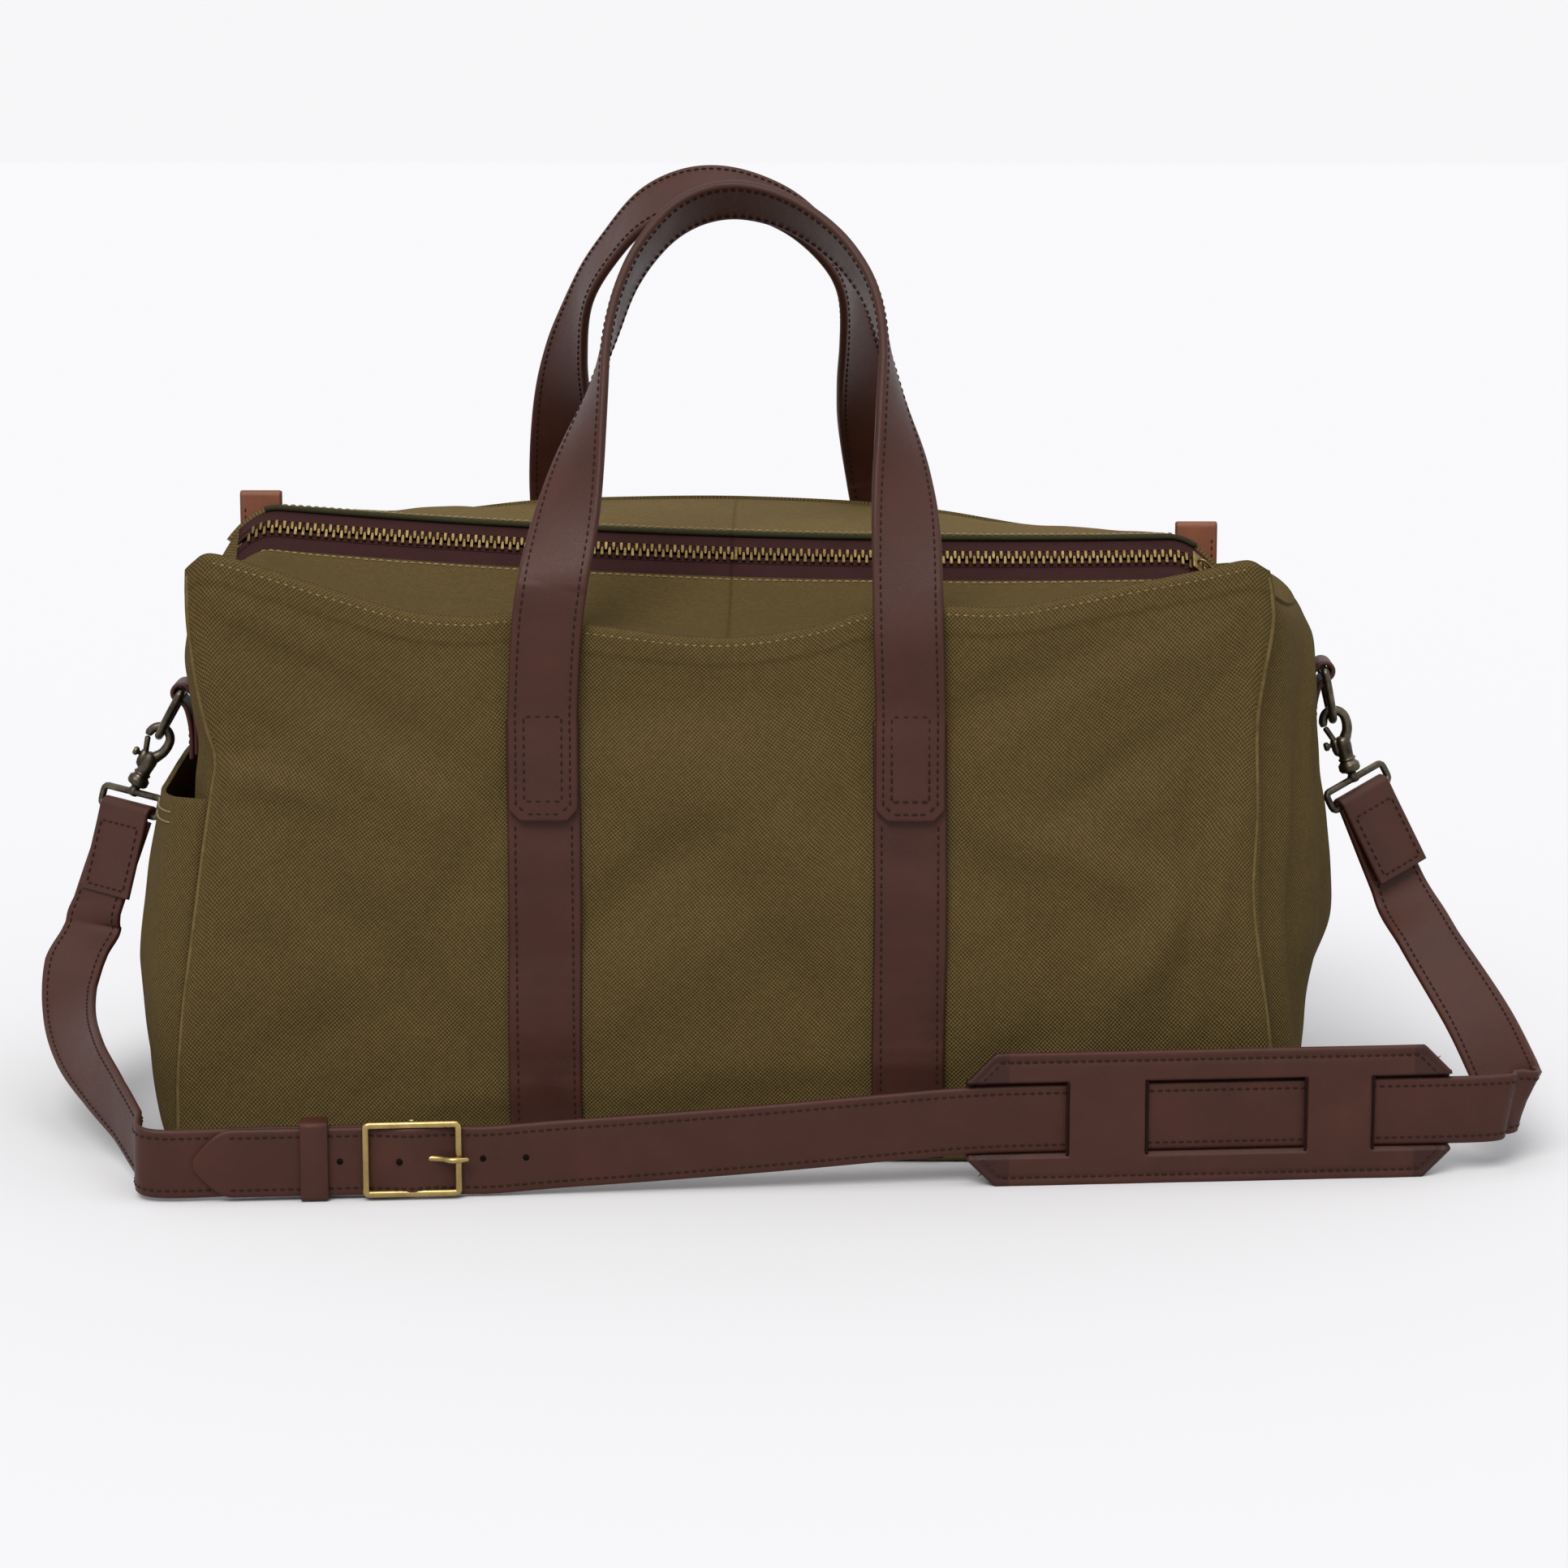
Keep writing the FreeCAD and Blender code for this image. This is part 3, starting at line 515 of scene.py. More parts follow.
def thread_material(name, base):
    """Waxed sewing thread with a fine twist."""
    s = Shader(name, base, roughness=0.7, specular=0.12)
    twist = s.noise(1800.0, 2.0)
    color = s.mix(s.range(twist, 0.35, 0.7, 0, 1), tuple(c * 0.6 for c in base),
                  tuple(c * 1.25 for c in base))
    return s.finish(color, None, s.bump(twist, 0.4, 0.0003))


def twill_material(name, base):
    """Zip tape: fine diagonal twill."""
    s = Shader(name, base, roughness=0.85, specular=0.08)
    u, v = s.uv()
    slant = s.math("SINE", s.math("MULTIPLY", s.math("ADD", u, v), math.tau / (0.95 * MM)))
    cross = s.math("SINE", s.math("MULTIPLY", s.math("SUBTRACT", u, v), math.tau / (1.9 * MM)))
    rib = s.math("ADD", s.math("MULTIPLY", slant, 0.5), s.math("MULTIPLY", cross, 0.18))
    share = s.range(rib, -0.6, 0.6, 0.0, 1.0)
    patch = s.noise(60.0, 3.0)
    color = s.mix(share, tuple(c * 0.45 for c in base), tuple(c * 1.5 for c in base))
    color = s.mix(s.range(patch, 0.4, 0.7, 0.0, 0.4), color, tuple(c * 0.6 for c in base))
    return s.finish(color, None, s.bump(share, 0.7, 0.0004))


def metal_material(name, bright, dark, share=(0.35, 0.65), roughness=(0.28, 0.5), scale=120.0):
    """Plated metal with a worn patina."""
    s = Shader(name, bright, roughness=sum(roughness) / 2, metallic=1.0)
    patina = s.noise(scale, 5.0, 0.65)
    fine = s.noise(scale * 9, 2.0)
    mask = s.range(patina, share[0], share[1], 0.0, 1.0)
    color = s.mix(mask, dark, bright)
    color = s.mix(s.range(fine, 0.55, 0.8, 0.0, 0.35), color, bright)
    rough = s.range(patina, 0.3, 0.7, roughness[1], roughness[0])
    return s.finish(color, rough, s.bump(fine, 0.12, 0.0002))


def plain_weave_material(name, base, scale=900.0):
    """Fine lining cloth, a fuzzy folded edge, and the flat dark fill of painted hole and slot shadows; too fine to
    see its threads.
    """
    s = Shader(name, base, roughness=0.9, specular=0.06)
    weave = s.noise(scale, 3.0)
    patch = s.noise(25.0, 3.0)
    color = s.mix(s.range(weave, 0.35, 0.7, 0, 1), tuple(c * 0.72 for c in base),
                  tuple(c * 1.2 for c in base))
    color = s.mix(s.range(patch, 0.4, 0.7, 0, 0.3), color, tuple(c * 0.7 for c in base))
    return s.finish(color, None, s.bump(weave, 0.5, 0.0004))


CANVAS = canvas_material("canvas", (0.118, 0.083, 0.032), (0.022, 0.0135, 0.003))
# A lighter copy of the canvas for the back flaps: painted light where the top faces the lamps.
CANVAS_PAINTED_LIT = canvas_material("canvas_painted_lit", (0.150, 0.106, 0.044), (0.052, 0.035, 0.012), strength=0.7)
LEATHER = leather_material("dark_leather", (0.038, 0.0105, 0.0060))
LEATHER_PLAIN = leather_material("dark_leather_wide", (0.040, 0.0115, 0.0066), half=90.0)
TAN = leather_material("tan_leather", (0.140, 0.046, 0.022), half=9.5, roughness=0.42, edge=0.6)
THREAD_DARK = thread_material("leather_thread", (0.020, 0.0075, 0.005))
# The khaki thread is lighter than the canvas: its own khaki colour plus a painted highlight.
THREAD_KHAKI_HIGHLIT = thread_material("canvas_thread_highlit", (0.20, 0.155, 0.070))
TAPE = twill_material("zip_tape", (0.034, 0.0125, 0.0120))
ZIP_BRASS = metal_material("zip_brass", (0.27, 0.185, 0.075), (0.075, 0.048, 0.018), (0.3, 0.7), (0.3, 0.5),
                           300.0)
HOOK_BRASS = metal_material("antique_brass", (0.13, 0.108, 0.075), (0.028, 0.024, 0.019))
BUCKLE_BRASS = metal_material("satin_brass", (0.46, 0.33, 0.13), (0.26, 0.18, 0.07), (0.25, 0.7),
                              (0.24, 0.38))
LINING = plain_weave_material("lining_cloth", (0.14, 0.11, 0.065))
BOARD = plain_weave_material("board_cover", (0.05, 0.045, 0.035), 500.0)
HEM = plain_weave_material("folded_edge", (0.028, 0.026, 0.013), 1400.0)
# Near-black discs for the strap's holes: painted shade, with no opening cut.
HOLE_SHADE = plain_weave_material("painted_hole_shadow", (0.004, 0.003, 0.002))
# Near-black rims along the pad's slots: the cut leather edge, darkened as painted shadow in the slots.
SLOT_SHADE = plain_weave_material("slot_edge_shadow", (0.012, 0.005, 0.004), 1500.0)


# ---------------------------------------------------------------- the bag's shape

def through(points):
    """A smooth function of one value through (at, value) points."""
    fine = curve(np.asarray(points, float), 400)
    order = np.argsort(fine[:, 0])
    return lambda at: np.interp(at, fine[order, 0], fine[order, 1])


LEFT_EDGE = through([(0, -247), (15, -246.5), (37, -246), (68, -243), (105, -237.5), (142, -232),
                     (166, -228), (181, -226), (197, -230), (218, -234), (244, -236.5), (268, -236)])
RIGHT_EDGE = through([(0, 247), (25, 245), (60, 241), (95, 236), (122, 233), (157, 234), (200, 233.5),
                      (239, 239), (256, 238), (268, 235)])
FRONT_TOP = through([(-240, 262), (-234, 268), (-226, 272), (-205, 266.5), (-172, 256), (-140, 247),
                     (-113, 244.5), (-93, 246), (-60, 241), (-6, 235.5), (36, 240.5), (62, 248),
                     (93, 249.5), (125, 249.5), (178, 259.5), (207, 265), (228, 269.5), (236, 266),
                     (242, 260)])
BACK_TOP = through([(-242, 232), (-230, 240), (-214, 251), (-193, 258), (-154, 260), (-101, 266),
                    (-54, 268), (0, 268.4), (62, 265.7), (100, 261.4), (138, 255), (180, 249), (210, 245),
                    (228, 238), (242, 230)])
RIGHT_CROWN = through([(0, 256), (10, 261), (32, 263.5), (68, 268.5), (93, 275), (133, 275.5), (160, 272),
                       (186, 268.7), (213, 266), (235, 260), (246, 252), (262, 240)])
LEFT_CROWN = through([(0, 248), (40, 251), (105, 251), (150, 246), (185, 240.5), (220, 245), (262, 238)])
POCKET_CROWN = through([(0, 252), (14, 260), (40, 265), (80, 266), (120, 262.5), (165, 256)])
ZIP_SLOPE = math.tan(math.radians(1.76))

# Creases of the front: (across, height, direction in degrees, length, width, depth in mm).
FRONT_CREASES = (
    (-195, 238, -28, 40, 9, 3.4), (-168, 214, -38, 60, 13, -3.6), (-215, 190, 12, 26, 9, -3.4),
    (-205, 172, -14, 34, 8, 3.2), (-196, 120, -66, 55, 14, 3.0), (-150, 95, -50, 60, 15, -3.2),
    (-140, 170, -30, 46, 14, 2.8), (-112, 140, 62, 50, 12, -2.6), (-176, 60, 20, 44, 13, -2.4),
    (-30, 205, 4, 60, 16, -3.4), (20, 150, -35, 60, 20, 3.2), (-25, 90, 30, 60, 18, 3.0),
    (-38, 128, 38, 46, 11, -3.2), (28, 88, -58, 50, 13, -3.0), (2, 42, 8, 60, 12, 2.2),
    (130, 215, 24, 60, 13, -3.4), (180, 225, 20, 45, 11, 3.2), (168, 176, 34, 40, 10, -3.0),
    (205, 150, 84, 70, 7, -3.8), (150, 140, -20, 40, 12, 3.0), (196, 112, 66, 50, 9, 2.8),
    (214, 110, 78, 60, 6, 2.4), (165, 70, 52, 55, 15, 3.0), (120, 120, -60, 60, 14, -2.8),
    (136, 52, 30, 50, 12, -2.4), (222, 205, 70, 34, 6, -3.0), (-110, 30, 8, 60, 10, 1.6),
    (60, 22, -4, 70, 9, 1.6),
)


def creases(a, b, table):
    """Summed soft folds at places (a, b)."""
    total = np.zeros(np.broadcast(a, b).shape)
    for a0, b0, turn, long, wide, deep in table:
        c, s = math.cos(math.radians(turn)), math.sin(math.radians(turn))
        along = (a - a0) * c + (b - b0) * s
        aside = -(a - a0) * s + (b - b0) * c + 0.0015 * along ** 2
        total += deep * np.exp(-(aside / wide) ** 2 - (along / long) ** 2)
    return total


def rounding(distance, radius):
    """How far a surface turns back within radius of its edge."""
    near = np.clip(1 - distance / radius, 0, 1)
    return radius * (1 - np.sqrt(np.maximum(0, 1 - near ** 2)))


def face_depth(x, z, sign):
    """How far the front or back panel stands from the middle plane, at (x, z)."""
    left, right = LEFT_EDGE(z), RIGHT_EDGE(z)
    top = FRONT_TOP(x) if sign < 0 else BACK_TOP(x)
    share = np.clip((x - left) / (right - left), 0, 1)
    rise = np.clip(z / np.maximum(top, 1), 0, 1)
    bulge = 5.2 * np.sin(math.pi * share) ** 0.6
    bulge = bulge * np.sin(math.pi * np.clip(rise * 0.94 + 0.02, 0, 1)) ** 0.7
    mirror = 1 if sign < 0 else -1
    fold = creases(x * mirror, z, FRONT_CREASES)
    fold = fold + 0.9 * ripple(x * mirror, z, 3, 130) + 0.35 * ripple(x, z * 1.3, 4, 34)
    calm = np.clip(np.minimum(share, 1 - share) / 0.03, 0, 1) * np.clip((1 - rise) / 0.04, 0, 1)
    depth = np.maximum(HALF_DEPTH - 1.5 + bulge + fold * calm, HALF_DEPTH - 1.8)
    depth = depth - rounding(np.minimum(x - left, right - x), 7) - rounding(z, 9)
    return depth - rounding(top - z, 3.5)


def face_point(x, z, sign, off):
    """A point off millimetres outside the front (sign -1) or back (sign 1) panel."""
    x, z = np.asarray(x, float), np.asarray(z, float)
    return np.stack([x, sign * (face_depth(x, z, sign) + off), z], -1)


def make_face(name, sign):
    """The front (sign -1) or back (sign 1) canvas, its points closer together near its edges."""
    columns = 240
    share = 0.5 - 0.5 * np.cos(np.linspace(0, math.pi, columns))
    share = 0.55 * share + 0.45 * np.linspace(0, 1, columns)
    rows = 150
    rise = 0.5 - 0.5 * np.cos(np.linspace(0, math.pi, rows))
    rise = 0.45 * rise + 0.55 * np.linspace(0, 1, rows)
    top_fn = FRONT_TOP if sign < 0 else BACK_TOP
    share, rise = np.meshgrid(share, rise)
    z = 0.6 + rise * (top_fn(-238 + 476 * share) - 0.6)
    x = LEFT_EDGE(z) + share * (RIGHT_EDGE(z) - LEFT_EDGE(z))
    depth = face_depth(x, z, sign)
    # The hem folded over the top edge is a little thicker.
    hem = smooth((z - (top_fn(x) - 13)) / 2.0)
    points = np.stack([x, sign * (depth + 0.7 * hem), z], -1)
    piece = cloth(name, points, CANVAS, thick=2.0, flip=sign > 0)
    return slot_ride(piece, "canvas", "bag", name.replace("canvas", "panel"))


def end_point(share, z, edge, crown, half=117.5, swell=0.0):
    """A point of an end panel: share runs from the front edge to the back edge."""
    limit = RIGHT_EDGE(z) if edge > 0 else -LEFT_EDGE(z)
    lift = np.sin(math.pi * np.clip(share, 0, 1)) ** 0.62
    out = limit - 2.0 + (crown(z) - limit + 2.0) * lift
    out = out + swell
    out = out - 7.0 * np.exp(-((share - 0.035) / 0.026) ** 2) - 3.5 * np.exp(-((0.98 - share) / 0.02) ** 2)
    y = -half + 2 * half * share
    return np.stack([edge * out, y, z], -1)


def end_top(share, edge):
    """Height of an end panel's top edge: it falls from the front corner to the back corner."""
    front = 262.0
    middle, back = (242.0, 234.0) if edge > 0 else (247.0, 237.0)
    dip = np.sin(math.pi * share) ** 0.7
    return (front + (back - front) * share) * (1 - dip) + middle * dip


END_CREASES = (
    (-70, 200, 70, 50, 9, 3.4), (-48, 150, 84, 70, 10, -4.2), (-92, 120, 88, 70, 8, -5.2),
    (0, 90, 6, 60, 16, 2.2), (60, 160, 98, 60, 12, 2.0), (80, 90, 88, 60, 9, -2.6), (20, 225, 4, 50, 10, 2.0),
)


def make_end(name, side, edge, crown):
    """The canvas of one end of the bag."""
    share, rise = np.meshgrid(np.linspace(0, 1, 130), np.linspace(0, 1, 110))
    z = 0.6 + rise * (end_top(share, edge) - 0.6)
    y = -117.5 + 235 * share
    calm = np.clip(np.minimum(share, 1 - share) / 0.08, 0, 1) * np.clip((1 - rise) / 0.08, 0, 1)
    swell = (creases(y, z, END_CREASES) + 1.2 * ripple(y, z, 11 + edge, 90)) * calm
    swell = swell - rounding(z, 9) - rounding((1 - rise) * 250, 9)
    points = end_point(share, z, edge, crown, swell=swell)
    piece = cloth(name, points, CANVAS, thick=2.0, flip=edge < 0)
    return slot_ride(piece, "canvas", "bag", "end_panel_" + side)


def zip_line(x):
    """Height of the zip at x: it slopes down to the right and sags in the middle."""
    over = np.maximum(0, np.abs(x + 4) - 205)
    return ZIP_MID - x * ZIP_SLOPE + 5.6 * (x / 208) ** 2 - 0.028 * over ** 2


def top_point(x, share, sign):
    """A point of the top: share 0 at the front or back fold and 1 at the zip."""
    fold = (FRONT_TOP(x) if sign < 0 else BACK_TOP(x)) - 1.5
    lip_y = 9.6 if sign < 0 else 8.6
    lip = zip_line(x) + (-9.2 if sign < 0 else 8.6)
    z = fold + (lip - fold) * smooth(share * 0.9 + 0.05)
    dish = 5.5 if sign < 0 else -2.0
    near_end = smooth((np.abs(x) - 190) / 40)
    z = z - dish * np.sin(math.pi * share) * (1 - near_end)
    z = z + 0.9 * ripple(x, share * 110, 21 + sign, 70) * np.sin(math.pi * share)
    z = z + creases(x, share * 108, TOP_CREASES[sign]) * np.sin(math.pi * np.clip(share, 0, 1)) ** 0.5
    y = sign * (117.0 - share * (117.0 - lip_y))
    return np.stack([x, y, z], -1)


TOP_CREASES = {
    -1: ((-150, 40, 20, 60, 12, 2.6), (-60, 60, -15, 70, 14, -2.2), (60, 45, 8, 80, 12, 2.0),
         (160, 50, -25, 60, 12, 2.4)),
    1: ((-120, 50, 12, 80, 16, 2.0), (40, 40, -8, 90, 18, -1.6), (150, 60, 18, 60, 14, 1.8)),
}


def make_flaps():
    """Canvas top on both sides of the zip, each in two lengths."""
    for face, sign in (("front", -1), ("back", 1)):
        for side, start, stop in (("left", -234.0, 0.0), ("right", 0.0, 234.0)):
            x, share = np.meshgrid(np.linspace(start, stop, 120), np.linspace(0, 1, 60))
            points = top_point(x, share, sign)
            # The folded lip beside the tape is thicker than the single cloth.
            lip = smooth((share - 0.90) / 0.03)
            points[..., 2] += 0.8 * lip
            # The seam allowance hangs inside the face, so the fold stays closed when the top opens.
            drop = np.linspace(26, 2, 9)[:, None, None]
            hanging = points[:1] + np.array([0, -sign * 1.4, 0]) - drop * [0, 0, 1.0]
            points = np.concatenate([hanging, points])
            # The back flaps take the lighter canvas copy: painted light on the top.
            piece = cloth("%s_top_%s" % (face, side), points, CANVAS if sign < 0 else CANVAS_PAINTED_LIT,
                          thick=1.8, flip=sign > 0)
            slot_ride(piece, "canvas", None, face + "_flap")
            pinch(piece)
        for side, a, b in (("left", -216.0, 0.0), ("right", 0.0, 214.0)):
            x = np.linspace(a, b, 90)
            line = top_point(x, np.full_like(x, 0.955), sign) + [0, 0, 1.2]
            thread = stitches("%s_lip_stitches_%s" % (face, side), [(line, (0, sign * 0.25, 1.0))],
                              THREAD_KHAKI_HIGHLIT, pitch=3.6, long=2.7, radius=0.5)
            pinch(slot_ride(thread, "canvas", None))
            if sign > 0:
                edge = top_point(x, np.full_like(x, 1.0), sign) + [0, 0, 0.2]
                roll = tube("back_lip_roll_" + side, edge, 1.35, HEM, sides=10)
                pinch(slot_ride(roll, "canvas", None))


def make_top_ends():
    """The short stretches of top beyond the zip, between its ends and the end panels."""
    for side, edge in (("left", -1), ("right", 1)):
        share, out = np.meshgrid(np.linspace(0, 1, 70), np.linspace(0, 1, 26))
        y = -116 + 232 * share
        x0 = edge * 226.0
        middle = end_point(share, end_top(share, edge) - 2, edge, RIGHT_CROWN if edge > 0 else LEFT_CROWN)
        x = x0 + (middle[..., 0] - x0) * out
        across = np.linspace(0, 1, 40)
        halves = [top_point(np.full(40, x0), across, sign) for sign in (-1, 1)]
        profile = np.concatenate([halves[0], halves[1][::-1]])
        inner_z = np.interp(y, profile[:, 1], profile[:, 2]) - 1.6
        z = inner_z + (end_top(share, edge) - 2.5 - inner_z) * out ** 1.3
        piece = cloth("top_end_" + side, np.stack([x, y, z], -1), CANVAS, thick=1.8, flip=edge > 0)
        slot_ride(piece, "canvas", "bag", "top_gusset_" + side)


def make_fold_stitches():
    """The stitch line just under the top fold of the front and the back."""
    for sign, face, top in ((-1, "front", FRONT_TOP), (1, "back", BACK_TOP)):
        x = np.linspace(-224, 226, 260)
        line = face_point(x, top(x) - 3.4, sign, 0.35)
        thread = stitches(face + "_fold_stitches", [(line, (0, sign * 0.8, 0.6))], THREAD_KHAKI_HIGHLIT,
                          pitch=3.6, long=2.7, radius=0.5)
        slot_ride(thread, "canvas", "bag")


def pinch(piece):
    """Bake a piece's placement into its mesh."""
    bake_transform(piece)


# ---------------------------------------------------------------- base, hems, zip

def make_base():
    """The canvas floor of the bag, turned up a little at its edges."""
    share, side = np.meshgrid(np.linspace(0, 1, 90), np.linspace(-1, 1, 60))
    x = -244 + 488 * share
    y = side * 117.0
    z = 1.0 + rounding(117.0 - np.abs(y), 6) * 0.4 + rounding(244 - np.abs(x), 6) * 0.4
    piece = cloth("bottom_canvas", np.stack([x, y, z], -1), CANVAS, thick=1.6, flip=True)
    slot_ride(piece, "canvas", "bag", "base_panel")


def piping(name, path, radius):
    """A folded canvas edge sewn along a corner."""
    piece = tube(name, path, radius, CANVAS, sides=10)
    return slot_ride(piece, "canvas", "bag")


def make_corner_seams():
    """The seams where the front and back meet the ends and the base."""
    for sign, face in ((-1, "front"), (1, "back")):
        for edge, side in ((-1, "left"), (1, "right")):
            high = (FRONT_TOP if sign < 0 else BACK_TOP)(np.array([edge * 236.0]))[0] - 4
            z = np.linspace(3, high, 120)
            x = (LEFT_EDGE(z) if edge < 0 else RIGHT_EDGE(z)) - edge * 2.0
            y = sign * (116.4 + 0.5 * ripple(z, 0 * z, 31, 90))
            piping("%s_corner_%s" % (face, side), height_line(x, y, z), 1.0)
        x = np.linspace(-243, 243, 120)
        piping("%s_base_seam" % face, np.stack([x, sign * (116.6 + 0 * x), 2.1 + 0 * x], -1), 1.9)


def zip_path(a, b, count):
    """The zip's centre line from a to b."""
    x = np.linspace(a, b, count)
    return np.stack([x, 0 * x, zip_line(x)], -1)


ZIP_TILT = math.radians(43)


def make_tape(face, sign, side, a, b):
    """One length of one tape: a thin woven band beside the teeth, tucked under the canvas lip."""
    path = zip_path(a, b, 90)
    inner, outer, curl = 1.4, 12.5, 0.0175
    columns = np.linspace(inner, outer, 14)
    across = np.array([0, sign * math.cos(ZIP_TILT), sign * math.sin(ZIP_TILT)])
    grid = path[:, None] + across[None, None] * columns[None, :, None]
    normal = np.array([0, -math.sin(ZIP_TILT), math.cos(ZIP_TILT)])
    grid = grid - normal * (curl * (columns - inner) ** 1.6)[None, :, None]
    # The cord that the teeth clamp makes the inner edge fuller.
    grid = grid + normal * (0.7 * np.exp(-((columns - 1.9) / 0.8) ** 2))[None, :, None]
    piece = cloth("zip_tape_%s_%s" % (face, side), grid, TAPE, thick=0.9, flip=sign > 0)
    pinch(slot_ride(piece, "zip_tape", None, "zip_tape_" + face))
    rows = [(path + across * 4.6 + normal * 0.25, normal)]
    thread = stitches("zip_tape_rib_%s_%s" % (face, side), rows, TAPE, pitch=1.6, long=1.3, radius=0.28)
    pinch(slot_ride(thread, "zip_tape", None))


def tooth(sign):
    """One zip tooth: a straight bar clamped round the tape's cord, its head reaching over the middle."""
    outline = [(-0.78, 3.9), (-0.78, 0.9), (-0.62, 0.4), (-0.7, -0.2), (-0.4, -0.7), (0.4, -0.7),
               (0.7, -0.2), (0.62, 0.4), (0.78, 0.9), (0.78, 3.9)]
    verts = []
    for level, inset in ((-1.15, 0.25), (-0.9, 0.0), (1.0, 0.0), (1.35, 0.3)):
        for a, b in outline:
            verts.append((a * (1 - inset * 0.8), sign * (b if b < 3 else b - inset), level))
    return np.array(verts), tube_faces(4, len(outline))


def make_teeth():
    """Two interlocking rows of metal teeth along the tapes."""
    normal = np.array([0, -math.sin(ZIP_TILT), math.cos(ZIP_TILT)])
    across = np.array([0, math.cos(ZIP_TILT), math.sin(ZIP_TILT)])
    for face, sign in (("front", -1), ("back", 1)):
        shape, faces = tooth(sign)
        for side, a, b in (("left", -222.0, 0.0), ("right", 1.75, 214.0)):
            path = zip_path(a, b, int((b - a) / 3.5) + 1)
            if sign > 0:
                path = path + (np.gradient(path, axis=0) * 0.5)
            along = tangents_of(path)
            verts, polys = [], []
            for i, (centre, run) in enumerate(zip(path, along)):
                turned = (centre + normal * 0.3 + run * shape[:, :1] + across * shape[:, 1:2]
                          + np.cross(run, across) * shape[:, 2:3])
                verts.append(turned)
                polys += [tuple(np.array(f) + i * len(shape)) for f in faces]
            piece = closed_mesh("zip_teeth_%s_%s" % (face, side), np.concatenate(verts), polys, None,
                                ZIP_BRASS, smooth_shade=False)
            pinch(slot_ride(piece, "zip_metal", None, "zip_teeth_" + face))


def zip_frame(at):
    """Origin and directions (along the zip, across it, out of it) at a place along the zip."""
    origin = np.array([at, 0, float(zip_line(np.array(at)))])
    run = unit([1, 0, float(zip_line(np.array(at + 1.0)) - zip_line(np.array(at - 1.0))) / 2])
    across = unit([0, math.cos(ZIP_TILT), math.sin(ZIP_TILT)])
    return origin, run, across, np.cross(run, across)


def block(name, frame_of, low, high, material, bevel):
    """A box with softened edges, in the directions of a frame."""
    origin, ex, ey, ez = frame_of
    low, high = np.array(low, float), np.array(high, float)
    corners = np.array([[(low, high)[i][0], (low, high)[j][1], (low, high)[k][2]]
                        for i in (0, 1) for j in (0, 1) for k in (0, 1)])
    points = origin + corners @ np.array([ex, ey, ez])
    faces = [(0, 1, 3, 2), (4, 6, 7, 5), (0, 4, 5, 1), (2, 3, 7, 6), (0, 2, 6, 4), (1, 5, 7, 3)]
    piece = closed_mesh(name, points, faces, None, material)
    work = bmesh.new()
    work.from_mesh(piece.data)
    sharp = [e for e in work.edges if e.is_manifold and e.calc_face_angle(0) > 0.5]
    bmesh.ops.bevel(work, geom=sharp, offset=bevel * MM, segments=2, profile=0.6, affect="EDGES",
                    clamp_overlap=True)
    work.to_mesh(piece.data)
    work.free()
    piece.data.polygons.foreach_set("use_smooth", [True] * len(piece.data.polygons))
    return piece


def make_slider():
    """The zip's slider, closed at the right-hand end, and its pull."""
    place = zip_frame(216.0)
    parts = [
        block("slider_top", place, (-7, -4.6, 2.0), (7, 4.6, 3.4), ZIP_BRASS, 0.6),
        block("slider_low", place, (-7, -4.6, -2.8), (7, 4.6, -1.6), ZIP_BRASS, 0.6),
        block("slider_post", place, (3.4, -1.3, -2.0), (6.2, 1.3, 2.4), ZIP_BRASS, 0.4),
    ]
    for edge in (-1, 1):
        parts.append(block("slider_wall", place, (-6.4, edge * 4.3 - 0.5, -2.8),
                           (5.6, edge * 4.3 + 0.5, -0.6), ZIP_BRASS, 0.3))
    origin, ex, _, ez = place
    arch = [origin + ex * a + ez * b for a, b in ((-4.2, 3.0), (-4.0, 5.0), (-2.6, 6.0), (0.8, 6.0),
                                                 (2.2, 5.0), (2.4, 3.0))]
    parts.append(tube("slider_bridge", curve(arch, 20), 0.75, ZIP_BRASS, sides=10))
    body = join("zip_slider_body", parts)
    slot_ride(body, "zip_metal", "zip_slider", "zip_slider")
    pull = [
        block("pull_eye", place, (-1.6, -2.6, 3.7), (5.4, 2.6, 4.7), ZIP_BRASS, 0.45),
        block("pull_leaf", place, (4.6, -2.9, 3.6), (17.5, 2.9, 4.8), ZIP_BRASS, 0.5),
    ]
    piece = join("zip_pull_tab", pull)
    slot_ride(piece, "zip_metal", "zip_pull", "zip_pull")


def folded(name, x0, x1, y_front, y_back, low, high, material):
    """A tab of leather folded over at the top, both layers hanging."""
    turn = (y_back - y_front) / 2
    middle = (y_back + y_front) / 2
    arc = [(middle - turn * math.cos(a), high - turn + turn * math.sin(a))
           for a in np.linspace(0, math.pi, 15)]
    line = [(y_front, low), (y_front - 0.2, (low + high) / 2)] + arc + [(y_back, low + 3)]
    line = curve(np.array([(0, y, z) for y, z in line]), 44)
    line[:, 0] = (x0 + x1) / 2
    widths = np.tile([1.0, 0, 0], (len(line), 1))
    return strap(name, line, widths, x1 - x0, 2.0, material, crown=0.1)[0]


